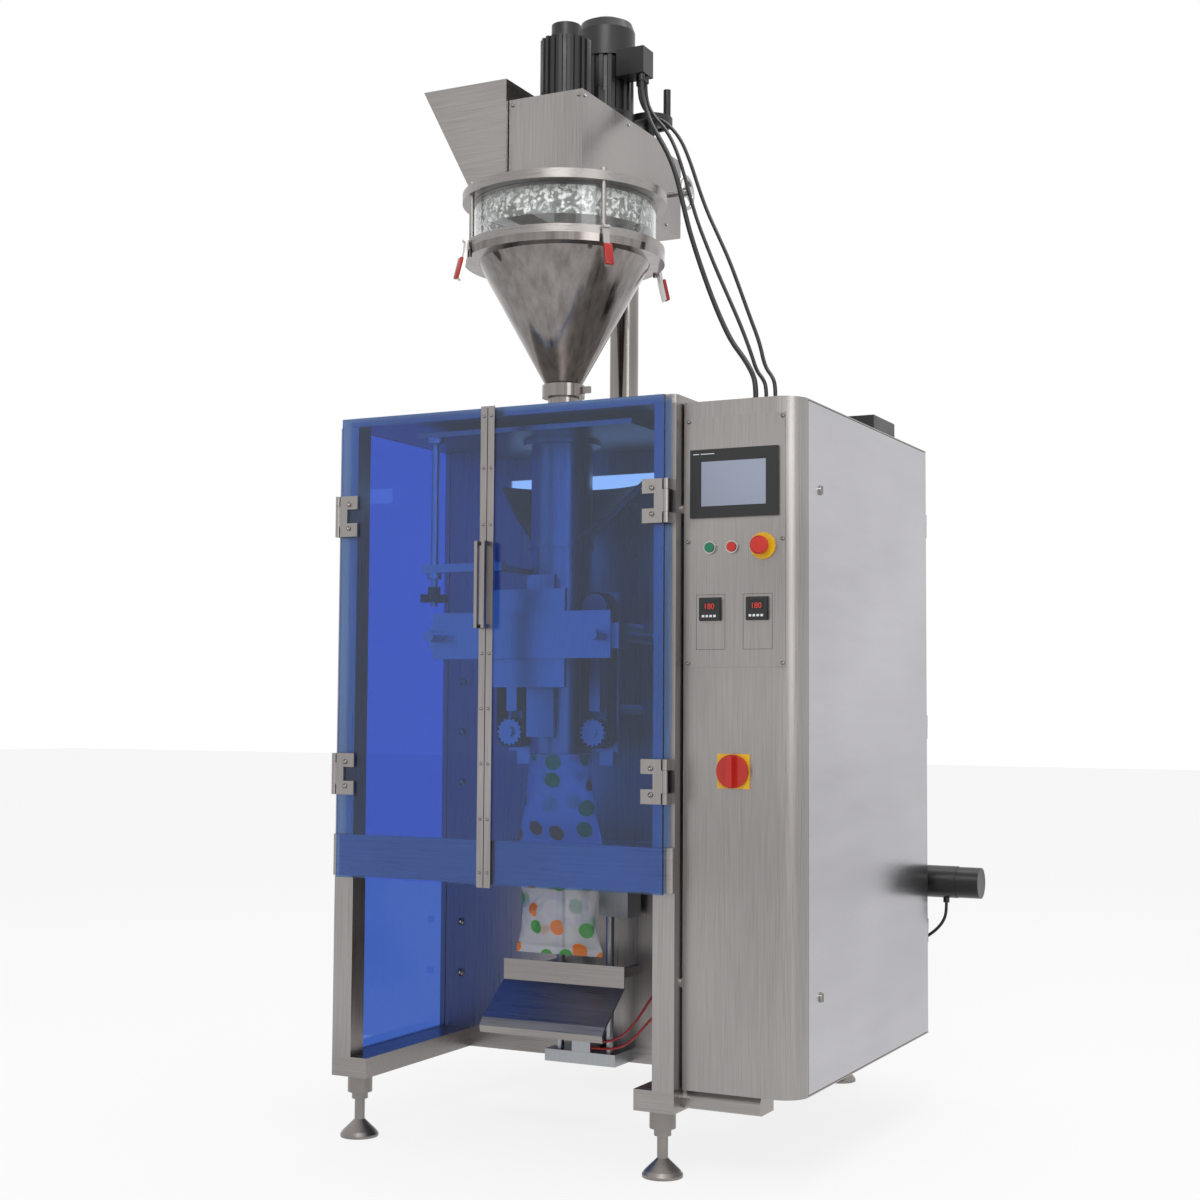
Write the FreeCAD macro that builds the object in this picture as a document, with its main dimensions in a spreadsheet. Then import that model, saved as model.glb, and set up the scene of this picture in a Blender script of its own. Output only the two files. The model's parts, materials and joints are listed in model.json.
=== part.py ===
import FreeCAD, Part
import math
import os
import Sketcher
from FreeCAD import Placement, Rotation, Vector

# Vertical form-fill-seal bagging machine with an auger powder filler on top.
# Lengths are in millimetres. X runs along the front to the right, Y runs to the
# back and Z up. Every piece is drawn from a datum at the foot of the cabinet's
# front left edge, and the finished nodes are shifted so that the origin lies on
# the floor under the middle of the machine.

doc = FreeCAD.newDocument("BaggingMachine")
sheet = doc.addObject("Spreadsheet::Sheet", "Sizes")

SIZES = [
    # place of the datum in the machine's frame
    ("shiftx", 255.0), ("shifty", -561.5),
    # control cabinet
    ("cabwide", 268), ("cabdeep", 938), ("cabfoot", 192), ("cabtop", 1686),
    ("cabround", 57), ("sheetwall", 3), ("doorgap", 1.5),
    # frame
    ("frameleft", -890), ("frameright", -4), ("framefront", -34),
    ("platetop", 1702), ("platethick", 20), ("postwide", 52),
    ("railwide", 96), ("railhigh", 46), ("railtop", 191), ("backy", 440),
    ("backthick", 8), ("roofback", 690), ("rearend", 1215),
    # front apron and the blue doors
    ("aprontop", 712), ("apronfoot", 615), ("apronthick", 12),
    ("doorthick", 7), ("doorfoot", 612), ("doortop", 1699), ("doorair", 4),
    ("meetx", -467), ("meetgap", 2), ("stripwide", 17), ("hingein", 12),
    ("hingehigh", 97), ("hingelow", 806), ("hingeup", 1416), ("pinrad", 6),
    ("gripfoot", 1192), ("griptop", 1390), ("gripout", 35),
    # feet
    ("footrad", 45), ("collarrad", 29), ("stemrad", 12),
    # filler, forming tube and bag share one vertical axis
    ("axisx", -428), ("axisy", 235), ("lidrad", 250), ("lidtop", 2260),
    ("lidthick", 22), ("ringrad", 245), ("ringthick", 19), ("ringtop", 2131),
    ("glassrad", 224), ("glasswall", 5), ("conerad", 209), ("conefoot", 1795),
    ("neckrad", 44), ("clamprad", 52), ("clamphigh", 30), ("spoutrad", 38),
    ("spoutfoot", 1640), ("conewall", 3), ("latchturn", -40), ("tierad", 6),
    ("casewide", 200), ("casefront", 103), ("caseback", 605),
    ("casetop", 2487), ("blockdeep", 97), ("blocktop", 2467),
    ("columnrad", 37), ("columny", 570), ("columnroom", 0.05),
    ("motorrad", 63), ("motorhigh", 163), ("fanrad", 74), ("stirry", 456),
    ("chutetop", 2538), ("chutewide", 236), ("chutedeep", 230),
    ("crankx", -364), ("cranky", 585), ("crankrad", 59), ("wheelrad", 46),
    ("augerrad", 34), ("augerpitch", 44), ("shaftrad", 14),
    # forming set, belts and sealers
    ("tuberad", 74), ("tubewall", 2), ("tubefoot", 905), ("tubetop", 1645),
    ("formz", 1655), ("collarout", 205), ("collardrop", 260),
    ("collarhigh", 165), ("pulleyrad", 33), ("beltthick", 4.5),
    ("beltdeep", 50), ("belty", 188), ("beltlow", 955), ("beltup", 1250),
    ("filmair", 0.8), ("crossy", 30), ("crosshalf", 235), ("sealgap", 12),
    ("jawhalf", 165), ("jawdeep", 42), ("jawhigh", 70), ("jawz", 655),
    ("jawopen", 40), ("filmthick", 2.4), ("bagwide", 232), ("bagfoot", 425),
    ("rodoff", 200), ("rodrad", 13), ("slideroom", 0.3),
    # discharge chute
    ("trayhalf", 163), ("trayy", 256), ("trayz", 404),
    # film stand behind
    ("rollrad", 150), ("rollhalf", 260), ("rolly", 985), ("rollz", 520),
    ("feedmotorrad", 41), ("feedmotorend", 388), ("feedmotorz", 570),
    ("feedmotory", 1010),
]


class Size:
    """A length with its value and the sheet formula that gives it."""

    def __init__(self, value, text):
        self.value = float(value)
        self.text = text

    def __add__(self, other):
        return Size(self.value + num(other), "(%s + %s)" % (self.text, txt(other)))

    def __radd__(self, other):
        return Size(num(other) + self.value, "(%s + %s)" % (txt(other), self.text))

    def __sub__(self, other):
        return Size(self.value - num(other), "(%s - %s)" % (self.text, txt(other)))

    def __rsub__(self, other):
        return Size(num(other) - self.value, "(%s - %s)" % (txt(other), self.text))

    def __mul__(self, other):
        return Size(self.value * num(other), "(%s * %s)" % (self.text, txt(other)))

    def __rmul__(self, other):
        return Size(num(other) * self.value, "(%s * %s)" % (txt(other), self.text))

    def __truediv__(self, other):
        return Size(self.value / num(other), "(%s / %s)" % (self.text, txt(other)))

    def __neg__(self):
        return Size(-self.value, "(0 - %s)" % self.text)


def num(quantity):
    return quantity.value if isinstance(quantity, Size) else float(quantity)


def txt(quantity):
    if isinstance(quantity, Size):
        return quantity.text
    return "(%.6f)" % quantity if quantity < 0 else "%.6f" % quantity


class Names:
    """The named sizes of the sheet."""


S = Names()
for row, (alias, amount) in enumerate(SIZES, start=1):
    cell = "A%d" % row
    sheet.set(cell, str(amount))
    sheet.setAlias(cell, alias)
    setattr(S, alias, Size(amount, "Sizes." + alias))
doc.recompute()

TURN = {
    "z": Rotation(),
    "x": Rotation(Vector(1, 1, 1), 120),
    "y": Rotation(Vector(1, 0, 0), 90),
}


def bind(obj, prop, quantity):
    obj.setExpression(prop, txt(quantity))


def locate(obj, x, y, z, turn=None):
    base = Vector(num(x), num(y), num(z))
    obj.Placement = Placement(base, turn if turn else Rotation())
    bind(obj, "Placement.Base.x", x)
    bind(obj, "Placement.Base.y", y)
    bind(obj, "Placement.Base.z", z)


def box(name, x0, x1, y0, y1, z0, z1):
    obj = doc.addObject("Part::Box", name)
    bind(obj, "Length", x1 - x0)
    bind(obj, "Width", y1 - y0)
    bind(obj, "Height", z1 - z0)
    locate(obj, x0, y0, z0)
    return obj


def rod(name, axis, x, y, z, radius, length):
    """A cylinder that starts at the point and runs along +X, +Y or +Z."""
    obj = doc.addObject("Part::Cylinder", name)
    bind(obj, "Radius", radius)
    bind(obj, "Height", length)
    turn = {"z": Rotation(), "x": Rotation(Vector(0, 1, 0), 90),
            "y": Rotation(Vector(1, 0, 0), -90)}[axis]
    locate(obj, x, y, z, turn)
    return obj


def cone(name, x, y, z, low, high, height):
    obj = doc.addObject("Part::Cone", name)
    bind(obj, "Radius1", low)
    bind(obj, "Radius2", high)
    bind(obj, "Height", height)
    locate(obj, x, y, z)
    return obj


def ring(name, axis, x, y, z, outer, inner, length):
    return cut(name, rod(name + "Out", axis, x, y, z, outer, length),
               rod(name + "In", axis, x, y, z, inner, length))


def cut(name, base, tool):
    obj = doc.addObject("Part::Cut", name)
    obj.Base = base
    obj.Tool = tool
    return obj


def common(name, base, tool):
    obj = doc.addObject("Part::Common", name)
    obj.Base = base
    obj.Tool = tool
    return obj


def fuse(name, parts):
    obj = doc.addObject("Part::MultiFuse", name)
    obj.Shapes = parts
    return obj


def outline(body, name, points):
    """A closed sketch of straight lines whose corners follow the sheet."""
    sketch = body.newObject("Sketcher::SketchObject", name)
    plane = [f for f in body.Origin.OriginFeatures if f.Role == "XY_Plane"][0]
    sketch.AttachmentSupport = [(plane, "")]
    sketch.MapMode = "FlatFace"
    count = len(points)
    for i in range(count):
        a = points[i]
        b = points[(i + 1) % count]
        start = Vector(num(a[0]), num(a[1]), 0)
        sketch.addGeometry(Part.LineSegment(start, Vector(num(b[0]), num(b[1]), 0)), False)
    for i in range(count):
        sketch.addConstraint(Sketcher.Constraint("Coincident", i, 2, (i + 1) % count, 1))
    for i in range(count):
        for kind, quantity in (("DistanceX", points[i][0]), ("DistanceY", points[i][1])):
            k = sketch.addConstraint(Sketcher.Constraint(kind, -1, 1, i, 1, num(quantity)))
            if isinstance(quantity, Size):
                sketch.setExpression("Constraints[%d]" % k, quantity.text)
    return sketch


def prism(name, axis, points, start, length, at=(0, 0)):
    """A padded outline. Its corners are (x, y), (x, z) or (y, z) for axis z, y or x."""
    body = doc.addObject("PartDesign::Body", name)
    sketch = outline(body, name + "Outline", points)
    pad = body.newObject("PartDesign::Pad", name + "Pad")
    pad.Profile = sketch
    bind(pad, "Length", length)
    body.Tip = pad
    if axis == "z":
        locate(body, at[0], at[1], start, TURN["z"])
    elif axis == "y":
        locate(body, at[0], start + length, at[1], TURN["y"])
    else:
        locate(body, start, at[0], at[1], TURN["x"])
    return body


def turned(name, points, x, y, z, turn=None):
    """A solid of revolution. Its corners are (radius, height) about the axis."""
    body = doc.addObject("PartDesign::Body", name)
    sketch = outline(body, name + "Outline", points)
    spin = body.newObject("PartDesign::Revolution", name + "Turn")
    spin.Profile = sketch
    spin.ReferenceAxis = (sketch, ["V_Axis"])
    spin.Angle = 360
    body.Tip = spin
    locate(body, x, y, z, turn if turn else TURN["y"])
    return body


NODES = []


def node(name, parts, join=False):
    """The finished piece, moved from the datum to the machine's own frame."""
    kind = "Part::MultiFuse" if join else "Part::Compound"
    obj = doc.addObject(kind, "Node_" + name)
    if join:
        obj.Shapes = parts
    else:
        obj.Links = parts
    obj.Label = name
    bind(obj, "Placement.Base.x", S.shiftx)
    bind(obj, "Placement.Base.y", S.shifty)
    NODES.append(obj)
    return obj


def polar(radius, degrees):
    angle = math.radians(num(degrees))
    return radius * math.cos(angle), radius * math.sin(angle)


# ---------------------------------------------------------------- main frame
ROOF = S.platetop - S.platethick
BACKFRONT = S.backy + S.backthick
INLEFT = S.frameleft + S.postwide
INRIGHT = S.frameright - S.postwide
RAILFOOT = S.railtop - S.railhigh


def build_frame():
    posts = []
    rows = (("Front", S.framefront), ("Middle", BACKFRONT), ("Rear", S.roofback - S.postwide))
    for label, y in rows:
        for side, x in (("Left", S.frameleft), ("Right", INRIGHT)):
            posts.append(box("Post" + label + side, x, x + S.postwide, y, y + S.postwide,
                             S.railtop, ROOF))
    node("frame_posts", posts)
    rails = []
    for side, x in (("Left", S.frameleft), ("Right", S.frameright - S.railwide)):
        rails.append(box("Rail" + side, x, x + S.railwide, S.framefront, S.rearend,
                         RAILFOOT, S.railtop))
    left = S.frameleft + S.railwide
    right = S.frameright - S.railwide
    rails.append(box("RailBack", left, right, S.backy, S.backy + 52, RAILFOOT, S.railtop))
    rails.append(box("RailEnd", left, right, S.rearend - 52, S.rearend, RAILFOOT, S.railtop))
    nose = [(20, RAILFOOT + 5), (90, RAILFOOT + 5), (90, S.cabfoot), (20, S.cabfoot),
            (8, S.cabfoot - 18), (12, RAILFOOT + 10)]
    rails.append(prism("BracketFront", "x", nose, S.frameright, 180))
    rails.append(box("BracketBack", S.frameright, S.frameright + 180, S.cabdeep - 130,
                     S.cabdeep - 70, RAILFOOT + 5, S.cabfoot))
    node("base_rails", rails, join=True)
    slab = box("RoofSlab", S.frameleft, S.frameright, S.framefront, S.roofback, ROOF, S.platetop)
    corner = doc.addObject("Part::Fillet", "RoofRound")
    corner.Base = slab
    corner.Edges = [(1, 12, 12), (5, 12, 12)]
    mouth = rod("RoofMouth", "z", S.axisx, S.axisy, ROOF, S.spoutrad + 14, S.platethick)
    node("top_plate", [cut("RoofPlate", corner, mouth)])
    slot = box("FilmSlot", S.axisx - S.rollhalf, S.axisx + S.rollhalf, S.backy, BACKFRONT,
               1560, 1600)
    back = box("BackSheet", S.frameleft, S.frameright, S.backy, BACKFRONT, S.railtop, ROOF)
    node("back_plate", [cut("BackPlate", back, slot)])
    node("side_panel", [box("SidePanel", S.frameleft + 14, S.frameleft + 20,
                            S.framefront + S.postwide, S.backy, S.railtop, ROOF)])
    apron = box("ApronSheet", S.frameleft, S.frameright, S.framefront - S.apronthick,
                S.framefront, S.apronfoot, S.aprontop)
    edge = doc.addObject("Part::Fillet", "ApronRound")
    edge.Base = apron
    edge.Edges = [(1, 8, 8), (5, 8, 8)]
    node("front_apron", [edge])


def build_feet():
    profile = [(0, 0), (S.footrad, 0), (S.footrad, 6), (S.footrad - 6, 14),
               (S.stemrad + 7, 33), (S.stemrad, 40), (S.stemrad, 88), (S.stemrad + 7, 88),
               (S.stemrad + 7, 104), (S.collarrad, 104), (S.collarrad, RAILFOOT),
               (0, RAILFOOT)]
    feet = []
    half = S.railwide / 2
    for side, x in (("Left", S.frameleft + half), ("Right", S.frameright - half)):
        for end, y in (("Front", S.framefront + half), ("Back", S.rearend - half)):
            feet.append(turned("Foot" + side + end, profile, x, y, 0))
    node("levelling_feet", feet)


# ------------------------------------------------------------------- cabinet
PANELY = -2
STARTX, STOPX, ESTOPX = 64, 116, 187
BUTTONZ = S.cabtop - 323
STEM = 10.5
SWITCHX, SWITCHZ = 119.2, 878.6


def build_cabinet():
    w = S.sheetwall
    flat = S.cabwide - S.cabround
    high = S.cabtop - S.cabfoot
    front = box("CabFront", 0, flat, 0, w, S.cabfoot, S.cabtop)
    hole = []
    for label, x in (("Start", STARTX), ("Stop", STOPX), ("Estop", ESTOPX)):
        hole.append(rod("Hole" + label, "y", x, PANELY, BUTTONZ, STEM + 0.6, w - PANELY))
    holes = fuse("ButtonHoles", hole)
    plate = box("PanelPlate", 6, 238, PANELY, 0, BUTTONZ - 260, BUTTONZ + 287)
    face = fuse("CabFace", [front, plate])
    corner = ring("CabCorner", "z", flat, S.cabround, S.cabfoot, S.cabround,
                  S.cabround - w, high)
    quarter = box("CabQuarter", flat, S.cabwide, 0, S.cabround, S.cabfoot, S.cabtop)
    bend = common("CabBend", corner, quarter)
    left = box("CabLeft", 0, w, w, S.cabdeep - w, S.cabfoot + w, S.cabtop - w)
    rear = box("CabRear", 0, S.cabwide - w - 0.5, S.cabdeep - w, S.cabdeep, S.cabfoot + w,
               S.cabtop - w)
    ends = []
    for label, z in (("Foot", S.cabfoot), ("Top", S.cabtop - w)):
        wide = box("Cab" + label + "Wide", 0, flat, w, S.cabdeep, z, z + w)
        side = box("Cab" + label + "Side", flat, S.cabwide, S.cabround, S.cabdeep, z, z + w)
        nose = rod("Cab" + label + "Round", "z", flat, S.cabround, z, S.cabround - w, w)
        ends.append(fuse("Cab" + label + "Plate", [wide, side, nose]))
    lip = box("CabLip", S.cabwide - 26, S.cabwide - w - 0.5, S.cabround, S.cabround + w,
              S.cabfoot + w, S.cabtop - w)
    body = cut("CabFaceBody", face, holes)
    inner = []
    inner.append(box("ElectricPlate", 40, 43, 80, 880, 320, 1500))
    for y in (120, 820):
        for z in (380, 1430):
            inner.append(rod("Standoff%d_%d" % (y, z), "x", w, y, z, 7, 40 - w))
    for i, (y, z, deep, wide, tall) in enumerate(((150, 1180, 120, 150, 200),
                                                  (360, 1180, 90, 300, 120),
                                                  (150, 820, 110, 240, 160),
                                                  (470, 760, 130, 200, 260))):
        inner.append(box("Module%d" % i, 43, 43 + deep, y, y + wide, z, z + tall))
    hinge = []
    for i, z in enumerate((420, 940, 1460)):
        hinge.append(rod("FixedKnuckle%d" % i, "z", S.cabwide - 6, S.cabdeep + 6, z, 5, 30))
        hinge.append(box("FixedLeaf%d" % i, S.cabwide - 36, S.cabwide - 8, S.cabdeep,
                         S.cabdeep + 3, z, z + 30))
    inner.append(fuse("FixedHinges", hinge))
    inner.append(rod("RearGland", "y", 131, S.cabdeep, 385, 8, 8))
    spacer = []
    for y in (5, 460, 650):
        for z in (420, 1450):
            spacer.append(rod("Spacer%d_%d" % (y, z), "x", S.frameright, y, z, 12,
                              0 - S.frameright))
    node("cabinet_shell", [body, bend, left, rear, lip] + ends + inner + spacer)
    # side door with a stiffening frame and three loose hinge halves
    y0 = S.cabround + S.doorgap
    y1 = S.cabdeep - 2
    z0 = S.cabfoot + w + S.doorgap
    z1 = S.cabtop - w - S.doorgap
    x1 = S.cabwide
    skin = box("DoorSkin", x1 - w, x1, y0, y1, z0, z1)
    rim = cut("DoorRim", box("RimOut", x1 - w - 14, x1 - w, y0 + 50, y1 - 50, z0 + 50, z1 - 50),
              box("RimIn", x1 - w - 14, x1 - w, y0 + 64, y1 - 64, z0 + 64, z1 - 64))
    arms = []
    for i, z in enumerate((420, 940, 1460)):
        arms.append(rod("LooseKnuckle%d" % i, "z", x1 - 6, S.cabdeep + 6, z + 30.5, 5, 30))
        arms.append(box("LooseLeaf%d" % i, x1 - w, x1, y1, S.cabdeep + 6, z + 30.5, z + 60.5))
    bores = fuse("LockBores", [rod("LockBore%d" % z, "x", x1 - w, S.cabround + 78, z, 8.3, w)
                               for z in (391, 1494)])
    door = fuse("SideDoorBody", [skin, rim] + arms)
    node("side_door", [cut("SideDoor", door, bores)])
    for label, z in (("lower", 391), ("upper", 1494)):
        y = S.cabround + 78
        lock = [rod("LockHead" + label, "x", x1 + 0.3, y, z, 11, 4),
                rod("LockBody" + label, "x", x1 - 24, y, z, 8, 24.3),
                box("LockCam" + label, x1 - 24, x1 - 21, y - 52, y + 8, z - 9, z + 9),
                box("LockGrip" + label, x1 + 4.3, x1 + 7, y - 2, y + 2, z - 9, z + 9)]
        node("cam_lock_" + label, lock, join=True)


def build_controls():
    face = PANELY
    hmi = box("ScreenBox", 18.6, 222.6, face - 8, face, BUTTONZ + 65, BUTTONZ + 215)
    well = box("ScreenWell", 44, 197, face - 8, face - 7, BUTTONZ + 89, BUTTONZ + 189)
    frame = cut("ScreenBezel", hmi, well)
    units = [box("Controller%d" % i, x, x + 48, face - 9, face, BUTTONZ - 158.3, BUTTONZ - 110.3)
             for i, x in enumerate((41, 150.6))]
    node("panel_instruments", [frame] + units)
    bezels = []
    for label, x in (("Start", STARTX), ("Stop", STOPX)):
        bezels.append(ring("Bezel" + label, "y", x, face - 6, BUTTONZ, 14, STEM + 0.6, 6))
    node("button_bezels", bezels)
    legend = ring("EstopRing", "y", ESTOPX, face - 4, BUTTONZ, 29, STEM + 0.6, 4)
    plate = box("SwitchPlate", SWITCHX - 37.2, SWITCHX + 37.2, -3, 0, SWITCHZ - 37.2,
                SWITCHZ + 37.2)
    node("yellow_plates", [legend, plate])
    for label, x in (("start_button", STARTX), ("stop_button", STOPX)):
        node(label, [rod("Cap" + label, "y", x, face - 10, BUTTONZ, STEM, 30)])
    mushroom = [(0, -18), (STEM, -18), (STEM, 12), (14, 16), (20, 19), (20, 27), (17, 31),
                (0, 33)]
    node("estop_button", [turned("Mushroom", mushroom, ESTOPX, face, BUTTONZ, EST_TURN)])
    base = rod("KnobDisc", "y", SWITCHX, -13, SWITCHZ, 36, 9.7)
    grip = box("KnobGrip", SWITCHX - 7, SWITCHX + 7, -30, -13, SWITCHZ - 33, SWITCHZ + 33)
    node("switch_knob", [base, grip], join=True)
    roof = [box("VentBox", 150, 262, 527, 690, S.cabtop, S.cabtop + 36)]
    for i, (x, y) in enumerate(GLANDS):
        roof.append(rod("RoofGland%d" % i, "z", x, y, S.cabtop, 10, 18))
    node("cabinet_top_box", roof)


GLANDS = ((128, 102), (148, 115), (170, 114))
EST_TURN = Rotation(Vector(0, 0, 1), 180)


# --------------------------------------------------------------- blue doors
def build_doors():
    back = S.framefront - S.apronthick - S.doorair
    front = back - S.doorthick
    axisy = front - 3
    half = S.meetgap / 2
    plan = (("left", S.frameleft + S.hingein, 1), ("right", S.frameright - S.hingein, -1))
    fixed = []
    for side, pin, way in plan:
        edge = pin + way * (S.pinrad + 1)
        meet = S.meetx - way * half
        lo, hi = (edge, meet) if way > 0 else (meet, edge)
        sheetx = box("Sheet" + side, lo, hi, front, back, S.doorfoot, S.doortop)
        node("door_%s_panel" % side, [sheetx])
        s0, s1 = (meet - S.stripwide, meet) if way > 0 else (meet, meet + S.stripwide)
        trim = [box("Strip" + side, s0, s1, front - 3, front, S.doorfoot - 6, S.doortop + 4)]
        gx = meet - way * (S.stripwide / 2) - 4
        outer = front - S.gripout
        trim.append(box("Grip" + side, gx, gx + 8, outer, outer + 9, S.gripfoot, S.griptop))
        trim.append(box("GripFoot" + side, gx, gx + 8, outer, front - 3, S.gripfoot,
                        S.gripfoot + 9))
        trim.append(box("GripHead" + side, gx, gx + 8, outer, front - 3, S.griptop - 9,
                        S.griptop))
        for label, z in (("Low", S.hingelow), ("Up", S.hingeup)):
            tag = side + label
            near = edge + way * 1
            far = edge + way * 50
            a, b = (near, far) if way > 0 else (far, near)
            leaf = box("Leaf" + tag, a, b, front - 6, front, z, z + S.hingehigh)
            c, d = (pin, near) if way > 0 else (near, pin)
            tongue = box("Tongue" + tag, c, d, front - 6, front - 1, z + 24,
                         z + S.hingehigh - 24)
            knuckle = rod("Knuckle" + tag, "z", pin, axisy, z + 24, S.pinrad,
                          S.hingehigh - 48)
            m = pin + way * 28
            n0, n1 = (m, far) if way > 0 else (far, m)
            notch = box("Notch" + tag, n0, n1, front - 6, front, z + 32,
                        z + S.hingehigh - 32)
            trim.append(fuse("HingeLeaf" + tag, [cut("LeafCut" + tag, leaf, notch), tongue,
                                                 knuckle]))
            arms = []
            for end, za in (("A", z), ("B", z + S.hingehigh - 23.5)):
                arms.append(rod("Fixed" + end + tag, "z", pin, axisy, za, S.pinrad, 23.5))
                e0 = pin - S.pinrad if way > 0 else pin
                arms.append(box("Arm" + end + tag, e0, e0 + S.pinrad, axisy, S.framefront,
                                za, za + 23.5))
            fixed.append(fuse("Arms" + tag, arms))
        node("door_%s_trim" % side, [fuse("TrimBody" + side, trim)])
    node("door_hinge_leaves", fixed)


# -------------------------------------------------------------- powder filler
def build_hopper():
    x = S.axisx
    y = S.axisy
    glassfoot = S.ringtop
    lidfoot = S.lidtop - S.lidthick
    # lid with the infeed chute, its four tie rods and the ring under the cylinder
    lid = rod("LidDisc", "z", x, y, lidfoot, S.lidrad, S.lidthick)
    case_left = x - S.casewide / 2
    right = case_left - 2
    left = right - 80
    top_left = right - S.chutewide
    y0 = y - S.chutedeep / 2
    y1 = y + S.chutedeep / 2
    wall = 3
    mouth = prism("ChuteOut", "y", [(left, lidfoot), (right, lidfoot), (right, S.chutetop),
                                    (top_left, S.chutetop)], y0, S.chutedeep)
    inside = prism("ChuteIn", "y", [(left + wall, lidfoot - 1), (right - wall, lidfoot - 1),
                                    (right - wall, S.chutetop + 1),
                                    (top_left + wall, S.chutetop + 1)],
                   y0 + wall, S.chutedeep - 2 * wall)
    bore = rod("LidBore", "z", x, y, lidfoot, S.shaftrad + 18, S.lidthick)
    shell = cut("LidWithBore", cut("LidWithChute", fuse("LidAndChute", [lid, mouth]), inside),
                bore)
    rods = []
    for k in range(4):
        px, py = polar(S.lidrad - 10, S.latchturn + 90 * k)
        rods.append(rod("Tie%d" % k, "z", x + px, y + py, S.ringtop - S.ringthick, S.tierad,
                        lidfoot - S.ringtop + S.ringthick))
        rods.append(rod("TieNut%d" % k, "z", x + px, y + py, S.lidtop, S.tierad + 3, 8))
    low = ring("UpperRing", "z", x, y, S.ringtop - S.ringthick, S.ringrad,
               S.glassrad - S.glasswall - 12, S.ringthick)
    node("hopper_lid", [fuse("LidBody", [shell, low] + rods)])
    node("hopper_cylinder", [ring("ClearWall", "z", x, y, glassfoot, S.glassrad,
                                  S.glassrad - S.glasswall, lidfoot - glassfoot)])
    # cone with its rim, clamp and spout
    rimtop = S.ringtop - S.ringthick
    rimfoot = rimtop - S.ringthick
    w = S.conewall
    foot = S.conefoot
    clampfoot = foot - S.clamphigh
    profile = [(S.neckrad, foot), (S.clamprad, foot), (S.clamprad, clampfoot),
               (S.spoutrad, clampfoot), (S.spoutrad, S.spoutfoot),
               (S.spoutrad - w, S.spoutfoot), (S.spoutrad - w, foot + 2),
               (S.conerad - w, rimfoot), (S.conerad - w, rimtop), (S.ringrad, rimtop),
               (S.ringrad, rimfoot), (S.conerad, rimfoot)]
    hopper = turned("Cone", profile, x, y, 0)
    wing = box("ClampWing", x + S.clamprad - 2, x + S.clamprad + 22, y - 4, y + 4,
               clampfoot + 8, clampfoot + 24)
    hooks = []
    for k in range(4):
        px, py = polar(S.ringrad - 1, S.latchturn + 90 * k)
        hooks.append(rod("Hook%d" % k, "z", x + px, y + py, rimfoot - 6, 5, S.ringthick))
    node("hopper_cone", [fuse("ConeBody", [hopper, wing] + hooks)])
    for k in range(4):
        node("latch_%d" % (k + 1), [latch(k)])


def latch(k):
    """An over-centre latch: a link, a lever and the handle that hangs from it."""
    z = S.ringtop - S.ringthick
    side = [(1, z + 14), (9, z + 14), (11, z - 10), (17, z - 40), (26, z - 78), (20, z - 84),
            (11, z - 52), (4, z - 14), (0.5, z - 2)]
    body = prism("Latch%d" % k, "y", [(S.ringrad + 2.7 + a, b) for a, b in side], -8, 16)
    angle = num(S.latchturn) + 90 * k
    cx, cy = num(S.axisx), num(S.axisy)
    turn = Rotation(Vector(0, 0, 1), angle).multiply(TURN["y"])
    c = math.cos(math.radians(angle))
    s = math.sin(math.radians(angle))
    body.Placement = Placement(Vector(cx - s * 8, cy + c * 8, 0), turn)
    bind(body, "Placement.Base.x", S.axisx - 8 * s)
    bind(body, "Placement.Base.y", S.axisy + 8 * c)
    bind(body, "Placement.Base.z", 0)
    far = S.ringrad + 11.7
    pin = rod("LatchPin%d" % k, "z", 0, 0, 0, 4.5, 16)
    locate(pin, S.axisx + far * c + 8 * s, S.axisy + far * s - 8 * c, z + 14,
           Rotation(Vector(0, 0, 1), Vector(-s, c, 0)))
    return fuse("LatchBody%d" % k, [body, pin])


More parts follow.
